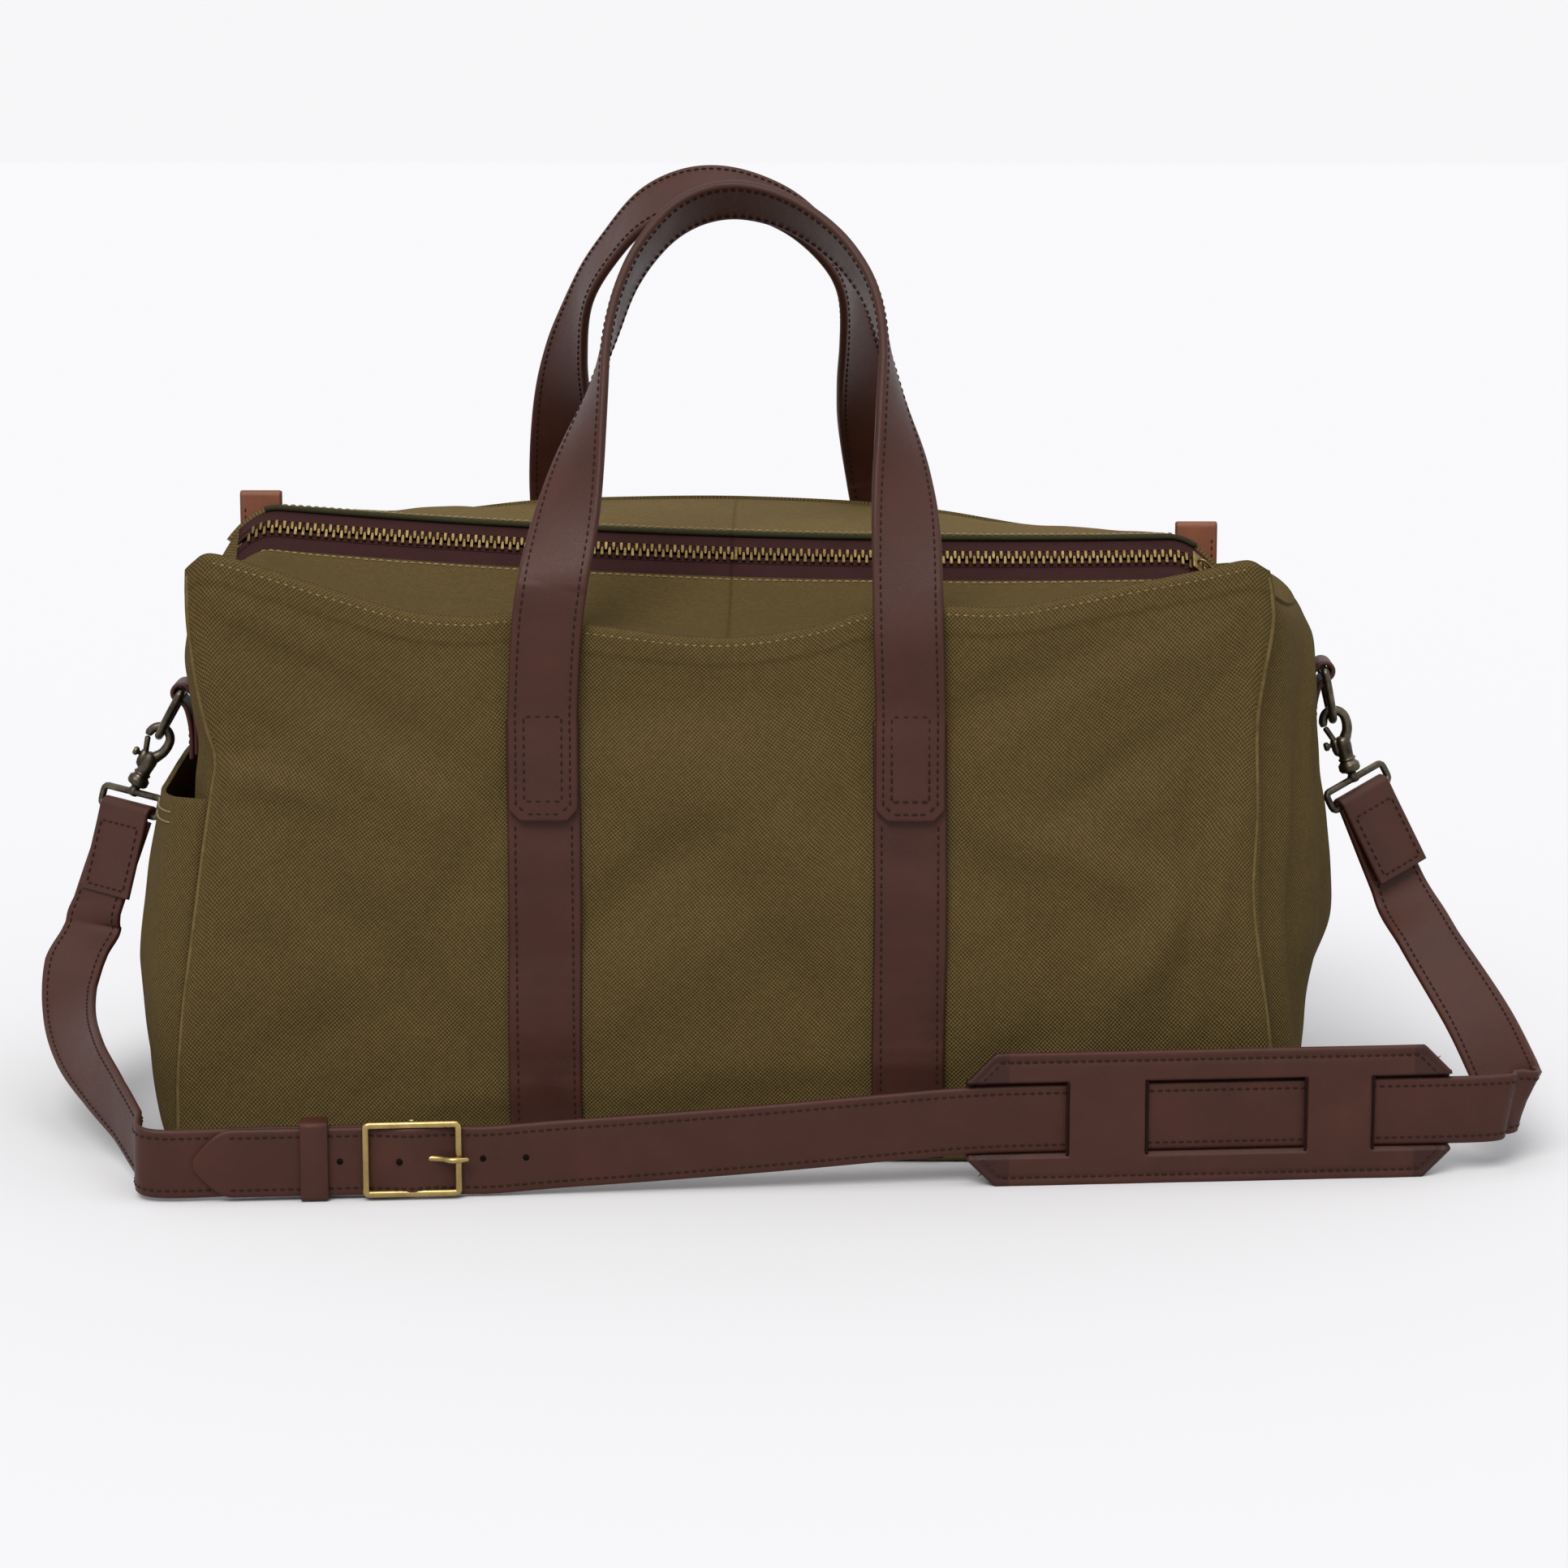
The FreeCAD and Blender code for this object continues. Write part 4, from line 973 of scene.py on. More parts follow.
def make_zip_tabs():
    """The folded tan leather tabs that stand behind the two ends of the zip."""
    for side in ("left", "right"):
        low, high = (np.array(c) * 1000 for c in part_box("zip_tab_" + side))
        piece = folded("zip_end_tab_" + side, low[0], high[0], low[1] + 1.1, high[1] - 1.1,
                       low[2] - 1, high[2] + 2.5, TAN)
        slot_ride(piece, "tan_leather", "bag", "zip_tab_" + side)
        z = np.linspace(low[2] + 3, high[2] - 4, 12)
        rows = [(height_line(x, low[1], z), (0, -1.0, 0)) for x in (low[0] + 2.4, high[0] - 2.4)]
        thread = stitches("zip_end_tab_stitches_" + side, rows, THREAD_DARK, pitch=3.2, long=2.3)
        slot_ride(thread, "tan_leather", "bag")


# ---------------------------------------------------------------- straps and handles

FRONT_LOOP = (
    (-80, 206), (-78, 240), (-75, 262), (-71, 282), (-65, 312), (-59, 337), (-53, 362), (-44, 387),
    (-31, 405), (-17, 415), (-1, 419), (16, 417), (33, 410), (49, 398), (60, 384), (66, 370), (70, 353), (73, 332),
    (76, 310), (78, 279), (79, 240), (80, 206),
)
BACK_LOOP = (
    (-80, 206), (-82, 235), (-86, 267), (-84, 304), (-81, 331), (-77, 350), (-69, 375), (-57, 394),
    (-43, 410), (-27, 419), (-10, 422), (8, 419), (27, 410), (42, 396), (51, 380), (56, 356), (59, 336), (64, 304),
    (70, 267), (77, 235), (80, 206),
)
OUTSIDE, APEX_GAP = 124.35, 22.0
HANDLE_WIDE = 30.5


def sewn_depth(x, z, sign):
    """Depth of the outside of a lower strap sewn on the panel."""
    steps = [face_depth(x + a, z, sign) for a in (-14, -7, 0, 7, 14)]
    return np.max(steps, axis=0) * 0.6 + steps[2] * 0.4


def make_lower_straps():
    """The leather straps sewn down the front and back, from under the handles to the base."""
    for face, sign in (("front", -1), ("back", 1)):
        for side, edge in (("left", -1), ("right", 1)):
            middle = edge * SPREAD
            z = np.linspace(2.5, 199, 140)
            depth = sewn_depth(middle, z, sign) + 1.35
            path = np.stack([middle + 0.5 * ripple(z, 0 * z, 51 + edge, 160), sign * depth, z], -1)
            widths = np.tile([float(sign), 0, 0], (len(z), 1))
            piece, _, _ = strap("%s_lower_strap_%s" % (face, side), path, widths, STRAP_WIDE, 2.5, LEATHER)
            slot_ride(piece, "leather", "bag", "%s_strap_%s" % (face, side))
            at = np.linspace(5, 154, 90)
            y = sign * (np.interp(at, z, depth) + 1.45)
            half = STRAP_WIDE / 2 - 3.6
            rows = [(height_line(middle + a * half, y, at), (0, sign, 0.0)) for a in (-1, 1)]
            thread = stitches("%s_lower_strap_stitches_%s" % (face, side), rows, THREAD_DARK)
            slot_ride(thread, "leather", "bag")


def handle_path(loop, sign, bend):
    """Centre line and width directions of a handle with its two sewn ends."""
    apex = max(z for _, z in loop)
    ends = {}
    for x in (-SPREAD, SPREAD):
        ends[x] = [(x, sign * (float(sewn_depth(x, np.array([z]), sign)[0]) + 4.5), z)
                   for z in (TAB_LOW, 168, 180, 192)]
    points = list(ends[-SPREAD])
    for x, z in loop:
        lean = max(0.0, (z - bend) / (apex - bend))
        points.append((x, sign * (OUTSIDE - lean * (OUTSIDE - APEX_GAP)), z))
    path = curve(np.array(points + ends[SPREAD][::-1], float), 520)
    along = tangents_of(path)
    rise = np.where(path[:, 2] < bend, 0.0, OUTSIDE - APEX_GAP)
    rise = rise * smooth((path[:, 2] - bend + 14) / 28)
    slope = np.stack([0 * rise, -sign * rise, np.full_like(rise, apex - bend)], -1)
    normal = unit(np.cross([1.0, 0, 0], slope)) * (-sign)
    flat = unit(np.cross(normal, along))
    share = np.clip((path[:, 2] - bend + 6) / 124, 0, 1)
    turn = math.pi / 2 * smooth(share)
    widths = flat * np.cos(turn)[:, None] - normal * np.sin(turn)[:, None]
    return path, widths


def make_handle(face, loop, sign, bend):
    """A carrying handle: one strap with its two sewn ends, and its stitching."""
    path, widths = handle_path(loop, sign, bend)
    z = path[:, 2]
    # The lower corners of the sewn ends are clipped.
    taper = np.clip(0.68 + (z - TAB_LOW) / 5.0 * 0.32, 0, 1)
    piece, across, face_way = strap(face + "_carry_handle", path, widths, HANDLE_WIDE, 3.8, LEATHER,
                                    crown=0.35, taper=taper)
    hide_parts(face + "_handle", face + "_handle_end_left", face + "_handle_end_right")
    half, cut = HANDLE_WIDE / 2 - 3.4, 4.5
    rows = edge_rows(path, across, face_way, HANDLE_WIDE, 3.8, z > TAB_LOW + 9)
    for edge in (-1, 1):
        corner = [(-half, TAB_LOW + 9), (-half, TAB_LOW + 3.4 + cut), (cut - half, TAB_LOW + 3.4),
                  (half - cut, TAB_LOW + 3.4), (half, TAB_LOW + 3.4 + cut), (half, TAB_LOW + 9)]
        inner_box = [(-8.2, TAB_LOW + 9), (8.2, TAB_LOW + 9), (8.2, HINGE_Z - 3), (-8.2, HINGE_Z - 3),
                     (-8.2, TAB_LOW + 9)]
        for outline in (corner, inner_box):
            for (x0, z0), (x1, z1) in zip(outline, outline[1:]):
                t = np.linspace(0, 1, 24)
                level = z0 + (z1 - z0) * t
                y = sign * (np.interp(level, z[:130], sign * path[:130, 1]) + 2.2)
                rows.append((height_line(edge * SPREAD + x0 + (x1 - x0) * t, y, level), (0, sign, 0.0)))
    thread = stitches(face + "_handle_stitches", rows, THREAD_DARK)
    for part in (piece, thread):
        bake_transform(part)


# ---------------------------------------------------------------- side pocket

POCKET_CREASES = (
    (-60, 90, 84, 60, 8, 3.0), (-20, 60, 78, 50, 9, -2.4), (40, 100, 98, 60, 10, 2.6),
    (80, 70, 88, 50, 8, -2.4), (0, 130, 4, 70, 12, 2.0), (-85, 120, 60, 40, 9, -2.2),
)


def make_pocket():
    """The open pouch on the left end, full at the bottom and slack at its rim."""
    share, rise = np.meshgrid(np.linspace(0, 1, 120), np.linspace(0, 1, 70))
    rim = 160 - 3.5 * np.sin(math.pi * share) + 2.0 * np.cos(share * 9)
    z = 1.6 + rise * (rim - 1.6)
    half = 112.0
    y = -half + 2 * half * share
    behind = end_point((y + 117.5) / 235, z, -1, LEFT_CROWN)[..., 0]
    lift = np.sin(math.pi * share) ** 0.45
    x = behind * (1 - lift) - POCKET_CROWN(z) * lift - 2.4
    calm = lift * np.clip(1 - np.abs(rise - 0.5) * 1.7, 0.15, 1)
    fold = creases(y, z, POCKET_CREASES)
    x = x - (fold + 1.3 * ripple(y, z, 61, 80)) * calm + rounding(z, 8)
    grid = np.stack([x, y, z], -1)
    piece = cloth("side_pouch", grid, CANVAS, thick=2.2, flip=True)
    slot_ride(piece, "canvas", "bag", "side_pocket")
    out = -normals_of(grid)
    rows = [(grid[row, 6:-6] + out[row, 6:-6] * 0.25, out[row, 6:-6]) for row in (64, 66)]
    thread = stitches("side_pouch_stitches", rows, THREAD_KHAKI_HIGHLIT, pitch=3.6, long=2.7)
    slot_ride(thread, "canvas", "bag")


# ---------------------------------------------------------------- end hardware

ENDS = {
    "left": {"edge": -1, "hang": 29.0, "eye": (-285.5, 0, 137), "end": (-296, -9, 92),
             "width": (0.82, -0.57, 0)},
    "right": {"edge": 1, "hang": 12.0, "eye": (288, 0, 145), "end": (310, -6, 101),
              "width": (0.72, 0.55, 0.3)},
}
RING_REACH = 24.5


def hardware(side):
    """Places and directions of one end's ring, hook, eye and strap end."""
    end = dict(ENDS[side])
    loop = np.array(JOINTS[side + "_hanger_swing"]["pos_m"]) * 1000
    loop[1] = 0
    angle = math.radians(end["hang"])
    down = np.array([end["edge"] * math.sin(angle), 0, -math.cos(angle)])
    low = loop + down * RING_REACH
    eye = np.array(end["eye"], float)
    run = unit(eye - low)
    aside = unit(np.cross([0, 1.0, 0], run))
    centre = low + run * 1.4
    body_low = centre + run * 8
    post_top = body_low + run * 17 - aside * 2
    target = np.array(end["end"], float)
    along = unit(target - eye)
    width = np.array(end["width"], float)
    width = unit(width - along * width.dot(along))
    shoulder = post_top + run * 3
    end.update(loop=loop, down=down, run=run, aside=aside, centre=centre, body_low=body_low,
               post_top=post_top, along=along, width=width, shoulder=shoulder, bar=shoulder + along * 9,
               target=target)
    return end


def make_chape(side, h):
    """The leather loop, sewn to the end panel, that holds the ring."""
    edge, loop = h["edge"], h["loop"]
    angles = np.radians(np.linspace(-90, 160, 22))
    turn = [(loop[0] + edge * 3.9 * math.cos(a), loop[2] + 3.9 * math.sin(a)) for a in angles]
    wall = -edge * 4.6
    line = [(loop[0] + wall * 0.95, loop[2] - 31), (loop[0] + wall * 0.95, loop[2] - 18),
            (loop[0] + wall * 0.55, loop[2] - 8)] + turn
    line += [(loop[0] + wall * 1.2, loop[2] - 2), (loop[0] + wall * 1.45, loop[2] - 16),
             (loop[0] + wall * 1.45, loop[2] - 29)]
    path = curve(np.array([(x, 0.0, z) for x, z in line]), 80)
    piece, _, _ = strap("ring_loop_" + side, path, np.tile([0, 1.0, 0], (80, 1)), 19, 2.1, LEATHER, crown=0.1)
    slot_ride(piece, "leather", "bag", "chape_" + side)
    x = loop[0] + wall * 0.95 + edge * 1.15
    z = np.linspace(loop[2] - 28, loop[2] - 9, 10)
    rows = [(height_line(x, y, z), (edge, 0, 0.0)) for y in (-7.2, 7.2)]
    y = np.linspace(-7, 7, 8)
    rows += [(np.stack([x + 0 * y, y, loop[2] + z0 + 0 * y], -1), (edge, 0, 0.0)) for z0 in (-28, -10)]
    thread = stitches("ring_loop_stitches_" + side, rows, THREAD_DARK, pitch=2.8, long=2.0)
    slot_ride(thread, "leather", "bag")


def make_ring(side, h):
    """The D-shaped ring: a straight bar in the loop and a round bow below."""
    half = 11.0
    y_way = np.array([0, 1.0, 0])
    arc = [h["loop"] + y_way * (half * math.cos(a)) + h["down"] * (RING_REACH * abs(math.sin(a)) ** 0.8)
           for a in np.linspace(0, math.pi, 40)]
    bar = [h["loop"] + y_way * t for t in np.linspace(-half, half, 12)[1:-1]]
    path = even(np.array(arc + bar + arc[:1]), 90)[:-1]
    piece = tube("d_ring_" + side, path, 1.9, HOOK_BRASS, closed=True)
    slot_ride(piece, "hook_metal", side + "_hanger", "ring_" + side)


# Profiles of the hook's turned parts: (distance along, radius).
HOOK_BODY = ((-0.8, 1.6), (-0.2, 2.9), (1.2, 3.7), (4, 3.8), (8, 3.4), (11, 3.3), (12.2, 4.2), (12.8, 4.9),
             (15.2, 5.0), (16.2, 4.3), (16.5, 2.4), (17.2, 2.2))
HOOK_RIB = ((0, 3.3), (0.5, 4.0), (1.2, 4.0), (1.7, 3.3))
HOOK_LUG = ((0, 1.3), (0.7, 2.2), (5.4, 2.3), (7.4, 1.8), (8.6, 0.6))
BOLT_KNOB = ((0.8, 1.1), (2.9, 1.1), (3.5, 2.0), (4.9, 2.1), (5.6, 1.4))


def make_hook(side, h):
    """The snap hook: bow, turned body with a lug for the bolt, and collar."""
    inner = 5.8
    run, aside, centre = h["run"], h["aside"], h["centre"]
    bow = [centre + aside * (inner * math.cos(a) * (0.8 if a < math.pi / 2 else 1.0))
           - run * (inner * math.sin(a)) for a in np.linspace(-0.1, math.pi, 26)]
    stem = [centre - aside * inner + run * 2.0, centre - aside * (inner - 0.6) + run * 5.0,
            centre - aside * (inner - 2.2) + run * 8.0]
    start = h["body_low"] - aside * 1.6
    path = curve(np.array(bow + stem + [start + run * 3]), 76)
    width = np.interp(np.linspace(0, 1, 76), [0, 0.05, 0.5, 0.8, 1], [1.5, 2.05, 2.15, 2.4, 3.0])
    parts = [tube("hook_bow", path, width, HOOK_BRASS, sides=18)]
    parts.append(lathe("hook_body", start, run, HOOK_BODY, HOOK_BRASS))
    parts.append(lathe("hook_rib", start + run * 9.4, run, HOOK_RIB, HOOK_BRASS))
    lug = start + aside * 3.3
    parts.append(lathe("hook_lug", lug - run * 0.4, run, HOOK_LUG, HOOK_BRASS, 18))
    piece = join("snap_hook_" + side, parts)
    slot_ride(piece, "hook_metal", side + "_hook", "hook_" + side)
    tip = centre + aside * (inner * 0.8 - 0.2) + run * 1.2
    way = unit(lug + run * 1.0 - tip)
    long = float(np.linalg.norm(lug + run * 1.0 - tip))
    bolt = [
        lathe("bolt_pin", tip, way, ((0, 0.8), (0.6, 1.35), (long, 1.35), (long + 1, 0.9)), HOOK_BRASS, 16),
        lathe("bolt_knob", lug + run * 2.2, aside, BOLT_KNOB, HOOK_BRASS, 18),
    ]
    piece = join("snap_bolt_" + side, bolt)
    slot_ride(piece, "hook_metal", side + "_bolt", "bolt_" + side)


def make_eye(side, h):
    """The swivelling rectangular wire eye that the strap folds round."""
    half = STRAP_WIDE / 2 + 2.4
    s, w, a = h["shoulder"], h["width"], h["along"]
    corners = [s - w * half, s - w * half + a * 9, s + w * half + a * 9, s + w * half]
    path = rounded(corners, 2.6, 7)
    parts = [tube("eye_wire", path, 1.65, HOOK_BRASS, closed=True, sides=14)]
    parts.append(lathe("eye_post", h["post_top"] - h["run"] * 0.6, h["run"],
                       ((0, 2.0), (1.6, 2.1), (2.6, 2.7), (4.6, 2.7), (5.2, 2.0)), HOOK_BRASS))
    piece = join("swivel_eye_" + side, parts)
    slot_ride(piece, "hook_metal", side + "_hanger", "eye_" + side)


def rounded(corners, radius, steps):
    """A closed loop of points through corners that are rounded off."""
    corners = [np.asarray(c, float) for c in corners]
    out = []
    for i, c in enumerate(corners):
        before, after = unit(corners[i - 1] - c), unit(corners[(i + 1) % len(corners)] - c)
        a, b = c + before * radius, c + after * radius
        for t in np.linspace(0, 1, steps):
            out.append(a * (1 - t) ** 2 + c * 2 * t * (1 - t) + b * t ** 2)
    return even(np.array(out + out[:1]), 16 * len(corners) + 1)[:-1]


# ---------------------------------------------------------------- shoulder strap

FLOOR_ORIGIN = np.array([-135.0, -176, 16.6])
FLOOR_TURN = math.radians(5.2)
FLOOR_AXES = np.array([[math.cos(FLOOR_TURN), math.sin(FLOOR_TURN), 0],
                       [-math.sin(FLOOR_TURN), math.cos(FLOOR_TURN), 0], [0, 0, 1.0]])
FLOOR_STRAP = 3.0
SLING_WIDE = 30.0


def on_floor(points):
    """World places from the floor strap's own (along, behind, up)."""
    return FLOOR_ORIGIN + np.asarray(points, float) @ FLOOR_AXES


def blend_widths(path, knots, widths):
    """Width directions along a path, changing smoothly between those given at its knots."""
    at = []
    for k in knots:
        at.append(int(np.argmin(np.linalg.norm(path - np.asarray(k, float), axis=1))))
    widths = np.array([unit(np.asarray(w, float)) for w in widths])
    order = np.arange(len(path))
    return unit(np.stack([np.interp(order, at, widths[:, k]) for k in range(3)], -1))


def hanger_blend(piece):
    """Bake a strap's placement into its mesh."""
    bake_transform(piece)


def edge_rows(path, across, face, wide, thick, keep, ways=(-1, 1)):
    """A row of stitching near each edge, on both sides of a strap."""
    rows = []
    for a in (-1, 1):
        for way in ways:
            line = path + across * (a * (wide / 2 - 3.4)) + face * (way * (thick / 2 + 0.25))
            rows.append((line[keep], face[keep] * way))
    return rows


def make_left_strap():
    """The buckle's side: from the left eye down to the floor and round to the buckle."""
    h = hardware("left")
    behind = FLOOR_STRAP + 0.6
    short = on_floor([(-112, behind, 0), (-60, behind, 0), (2, behind, 0)])
    start = h["bar"] + h["along"] * 1.5
    knots = [start, h["target"], h["target"] + h["along"] * 12, (-304, -26, 70), (-304, -44, 55),
             (-297, -72, 44), (-284, -104, 36), (-268, -134, 27), (-256, -160, 20), *short]
    path = curve(np.array([np.asarray(k, float) for k in knots]), 420)
    up = (0, 0, 1)
    widths = blend_widths(path, knots, [h["width"], h["width"], (0.92, -0.35, 0.0), (0.95, -0.25, 0.05),
                                        (0.85, -0.2, 0.48), (0.6, -0.05, 0.8), (0.3, -0.1, 0.95),
                                        (0.1, -0.15, 0.98), up, up, up, up])
    piece, across, face = strap("shoulder_strap_left", path, widths, SLING_WIDE, 3.0, LEATHER, uv_shift=900)
    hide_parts("strap_riser_left", "strap_short", "strap_end_left")
    hanger_blend(piece)
    rows = edge_rows(path, across, face, SLING_WIDE, 3.0, slice(6, -8), ways=(1, -1))
    thread = stitches("shoulder_strap_left_stitches", rows, THREAD_DARK)
    hanger_blend(thread)
    return h


def make_right_strap():
    """The long side: pointed tip, holes, the length along the floor and up to the right eye."""
    h = hardware("right")
    line = [(-94, 0.0), (-60, 0.0), (-30, 0.0), (-19, 0.0), (-10, 0.0), (0, 0.0), (10, 0.0), (19, -0.6),
            (34, -0.8), (63, 1.0), (110, 3.4), (160, 6.4), (205, 9.6), (245, 12.0), (290, 12.4),
            (400, 12.4), (470, 12.4)]
    flat = on_floor([(x, -3.4 * math.exp(-(x / 11) ** 4), z) for x, z in line])
    start = h["bar"] + h["along"] * 1.5
    crease = np.array([350.5, -121, 30.0])
    rise = h["target"] - crease
    knots = list(flat) + [crease - [5, 4.5, 0.3], crease + [1.5, 0, 0], crease + [-1.5, 4.5, 1.5],
                          crease + rise * 0.12, crease + rise * 0.4 + [3, 0, -2], crease + rise * 0.75,
                          h["target"], start]
    path = curve(np.array([np.asarray(k, float) for k in knots]), 760)
    up = (0, 0, 1)
    widths = blend_widths(path, knots, [up] * len(flat) + [
        (0.25, 0, 0.95), (0.41, 0, 0.91), (0.6, 0, 0.8), (0.88, 0.02, 0.47), (0.92, 0.15, 0.28),
        (0.88, 0.35, 0.15), h["width"], h["width"]])
    along = lengths_along(path)
    point = 17.0  # the length of the rounded tip
    taper = np.clip(0.10 + along / point * 0.9, 0, 1)
    taper = np.where(along < point, np.sin(taper * math.pi / 2), 1.0)
    piece, across, face = strap("shoulder_strap_right", path, widths, SLING_WIDE, 3.0, LEATHER, taper=taper)
    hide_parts("strap_long", "strap_riser_right", "strap_end_right")
    hanger_blend(piece)
    keep = slice(int(np.searchsorted(along, 15)), -6)
    rows = edge_rows(path, across, face, SLING_WIDE, 3.0, keep, ways=(1, -1))
    thread = stitches("shoulder_strap_right_stitches", rows, THREAD_DARK)
    hanger_blend(thread)
    return h


def make_sewn_end(side, h):
    """The strap's end, folded round the eye and sewn down to itself."""
    out = unit(np.cross(h["along"], h["width"]))
    out = out if out[1] < 0 else -out
    bar = h["bar"]
    turn = [bar - h["along"] * (3.4 * math.cos(a)) + out * (3.2 * math.sin(a))
            for a in np.radians(np.linspace(90, -60, 14))]
    layer = [bar + h["along"] * d + out * 3.0 for d in (40, 30, 18, 8)]
    path = curve(np.array(layer + turn), 80)
    piece, _, _ = strap("strap_fold_" + side, path, np.tile(h["width"], (80, 1)), SLING_WIDE, 2.6,
                        LEATHER, crown=0.15)
    slot_ride(piece, "leather", side + "_hanger")
    half = SLING_WIDE / 2 - 3.4
    lift = out * 4.5
    low, high = 7, 37  # where the box of stitches starts and ends along the strap
    d = np.linspace(low, high, 12)[:, None]
    t = np.linspace(-half, half, 10)[:, None]
    rows = [(bar + h["along"] * d + h["width"] * (a * half) + lift, out) for a in (-1, 1)]
    rows += [(bar + h["along"] * d + h["width"] * t + lift, out) for d in (low, high)]
    thread = stitches("strap_fold_stitches_" + side, rows, THREAD_DARK)
    slot_ride(thread, "leather", side + "_hanger")


def band(name, centre, axes, half_u, half_v, radius, profile, material):
    """A closed frame or band: a rounded rectangle swept with a profile of (inset, height)."""
    eu, ev, en = axes
    rings = []
    for inset, height in profile:
        u, v, r = half_u - inset, half_v - inset, max(radius - inset, 0.25)
        ring = []
        for su, sv, start in ((1, 1, 0), (-1, 1, 90), (-1, -1, 180), (1, -1, 270)):
            for a in np.radians(np.linspace(start, start + 90, 10)):
                ring.append(centre + eu * (su * (u - r) + r * math.cos(a))
                            + ev * (sv * (v - r) + r * math.sin(a)) + en * height)
        rings.append(ring)
    grid = np.array(rings).transpose(1, 0, 2)
    faces = tube_faces(*grid.shape[:2], closed=True)
    return closed_mesh(name, grid.reshape(-1, 3), faces, None, material)


def make_buckle():
    """The centre-bar buckle, its prong and the leather keeper."""
    ex, ey, ez = FLOOR_AXES
    centre = on_floor([0, -1.9, 1.2])
    bar = 3.1
    profile = ((0, 0.9), (0.3, 0.25), (0.8, 0), (bar - 0.8, 0), (bar - 0.3, 0.25), (bar, 0.9), (bar, 2.1),
               (bar - 0.4, 2.8), (bar - 1.0, 3.1), (1.0, 3.1), (0.4, 2.8), (0, 2.1))
    frame_part = band("buckle_rim", centre, (ex, ez, -ey), 21.5, 16.8, 3.2, profile, BUCKLE_BRASS)
    middle = lathe("buckle_bar", centre + ey * 3.2 - ez * 16.4, ez, ((0, 1.3), (32.8, 1.3)), BUCKLE_BRASS, 20)
    piece = join("buckle_body", [frame_part, middle])
    slot_ride(piece, "buckle_metal", "bag", "buckle_frame")
    origin = on_floor([0, -6.5, 1.2])
    line = [origin + ex * x + ey * y
            for x, y in ((0, 4.4), (7, 3.9), (12.5, 2.2), (16.5, -0.4), (20, -0.6), (24.4, 0.5))]
    path = curve(np.array(line), 30)
    width = np.interp(np.linspace(0, 1, 30), [0, 0.2, 0.8, 1], [1.5, 1.5, 1.35, 0.9])
    parts = [tube("prong_bar", path, width, BUCKLE_BRASS, sides=14),
             lathe("prong_curl", origin + ey * 4.4 - ez * 2.6, ez,
                   ((0, 1.3), (0.5, 1.6), (4.7, 1.6), (5.2, 1.3)), BUCKLE_BRASS, 22)]
    piece = join("buckle_tongue", parts)
    slot_ride(piece, "buckle_metal", "buckle_prong", "buckle_prong")
    middle = on_floor([-42, 1.8, 0.8])
    wide, wall = 12.0, 2.2
    profile = ((0, -wide / 2 + 0.5), (0.5, -wide / 2), (wall - 0.4, -wide / 2), (wall, -wide / 2 + 0.5),
               (wall, wide / 2 - 0.5), (wall - 0.4, wide / 2), (0.5, wide / 2), (0, wide / 2 - 0.5))
    piece = band("strap_loop", middle, (ey, ez, ex), 6.4, 17.4, 2.2, profile, LEATHER_PLAIN)
    slot_ride(piece, "leather", "strap_keeper", "strap_keeper")


def make_holes():
    """Punched adjusting holes in the long strap: near-black discs that paint the shade in each hole."""
    holes = []
    for x, forward in ((-31.0, 0.0), (-5.5, 3.2), (30.5, 0.0), (49.0, 0.0)):
        holes.append(lathe("hole", on_floor([x, -1.25 - forward, 0.3]), -FLOOR_AXES[1],
                           ((0, 1.4), (0.62, 1.4)), HOLE_SHADE, 20))
    piece = join("strap_holes", holes)
    slot_ride(piece, "leather", "bag")


# The pad's half sizes, where it starts along the strap, and the height of its middle.
PAD_LONG, PAD_TALL, PAD_START, PAD_MIDDLE = 107.0, 30.2, 240.5, 12.6
BRIDGES = ((285.0, 319.0), (390.0, 419.0))
PAD_FRONT = 2.2  # how far behind the strap's middle the bottom of the channel lies


def pad_height(x, z):
    """How far the pad's leather stands in front of its channel: it is raised all round and at bridges."""
    bridge = sum(((x > low) & (x < high)).astype(float) for low, high in BRIDGES)
    rim = smooth((np.abs(z - PAD_MIDDLE) - 16.0) / 0.7)
    return 5.7 * np.maximum(bridge, rim)


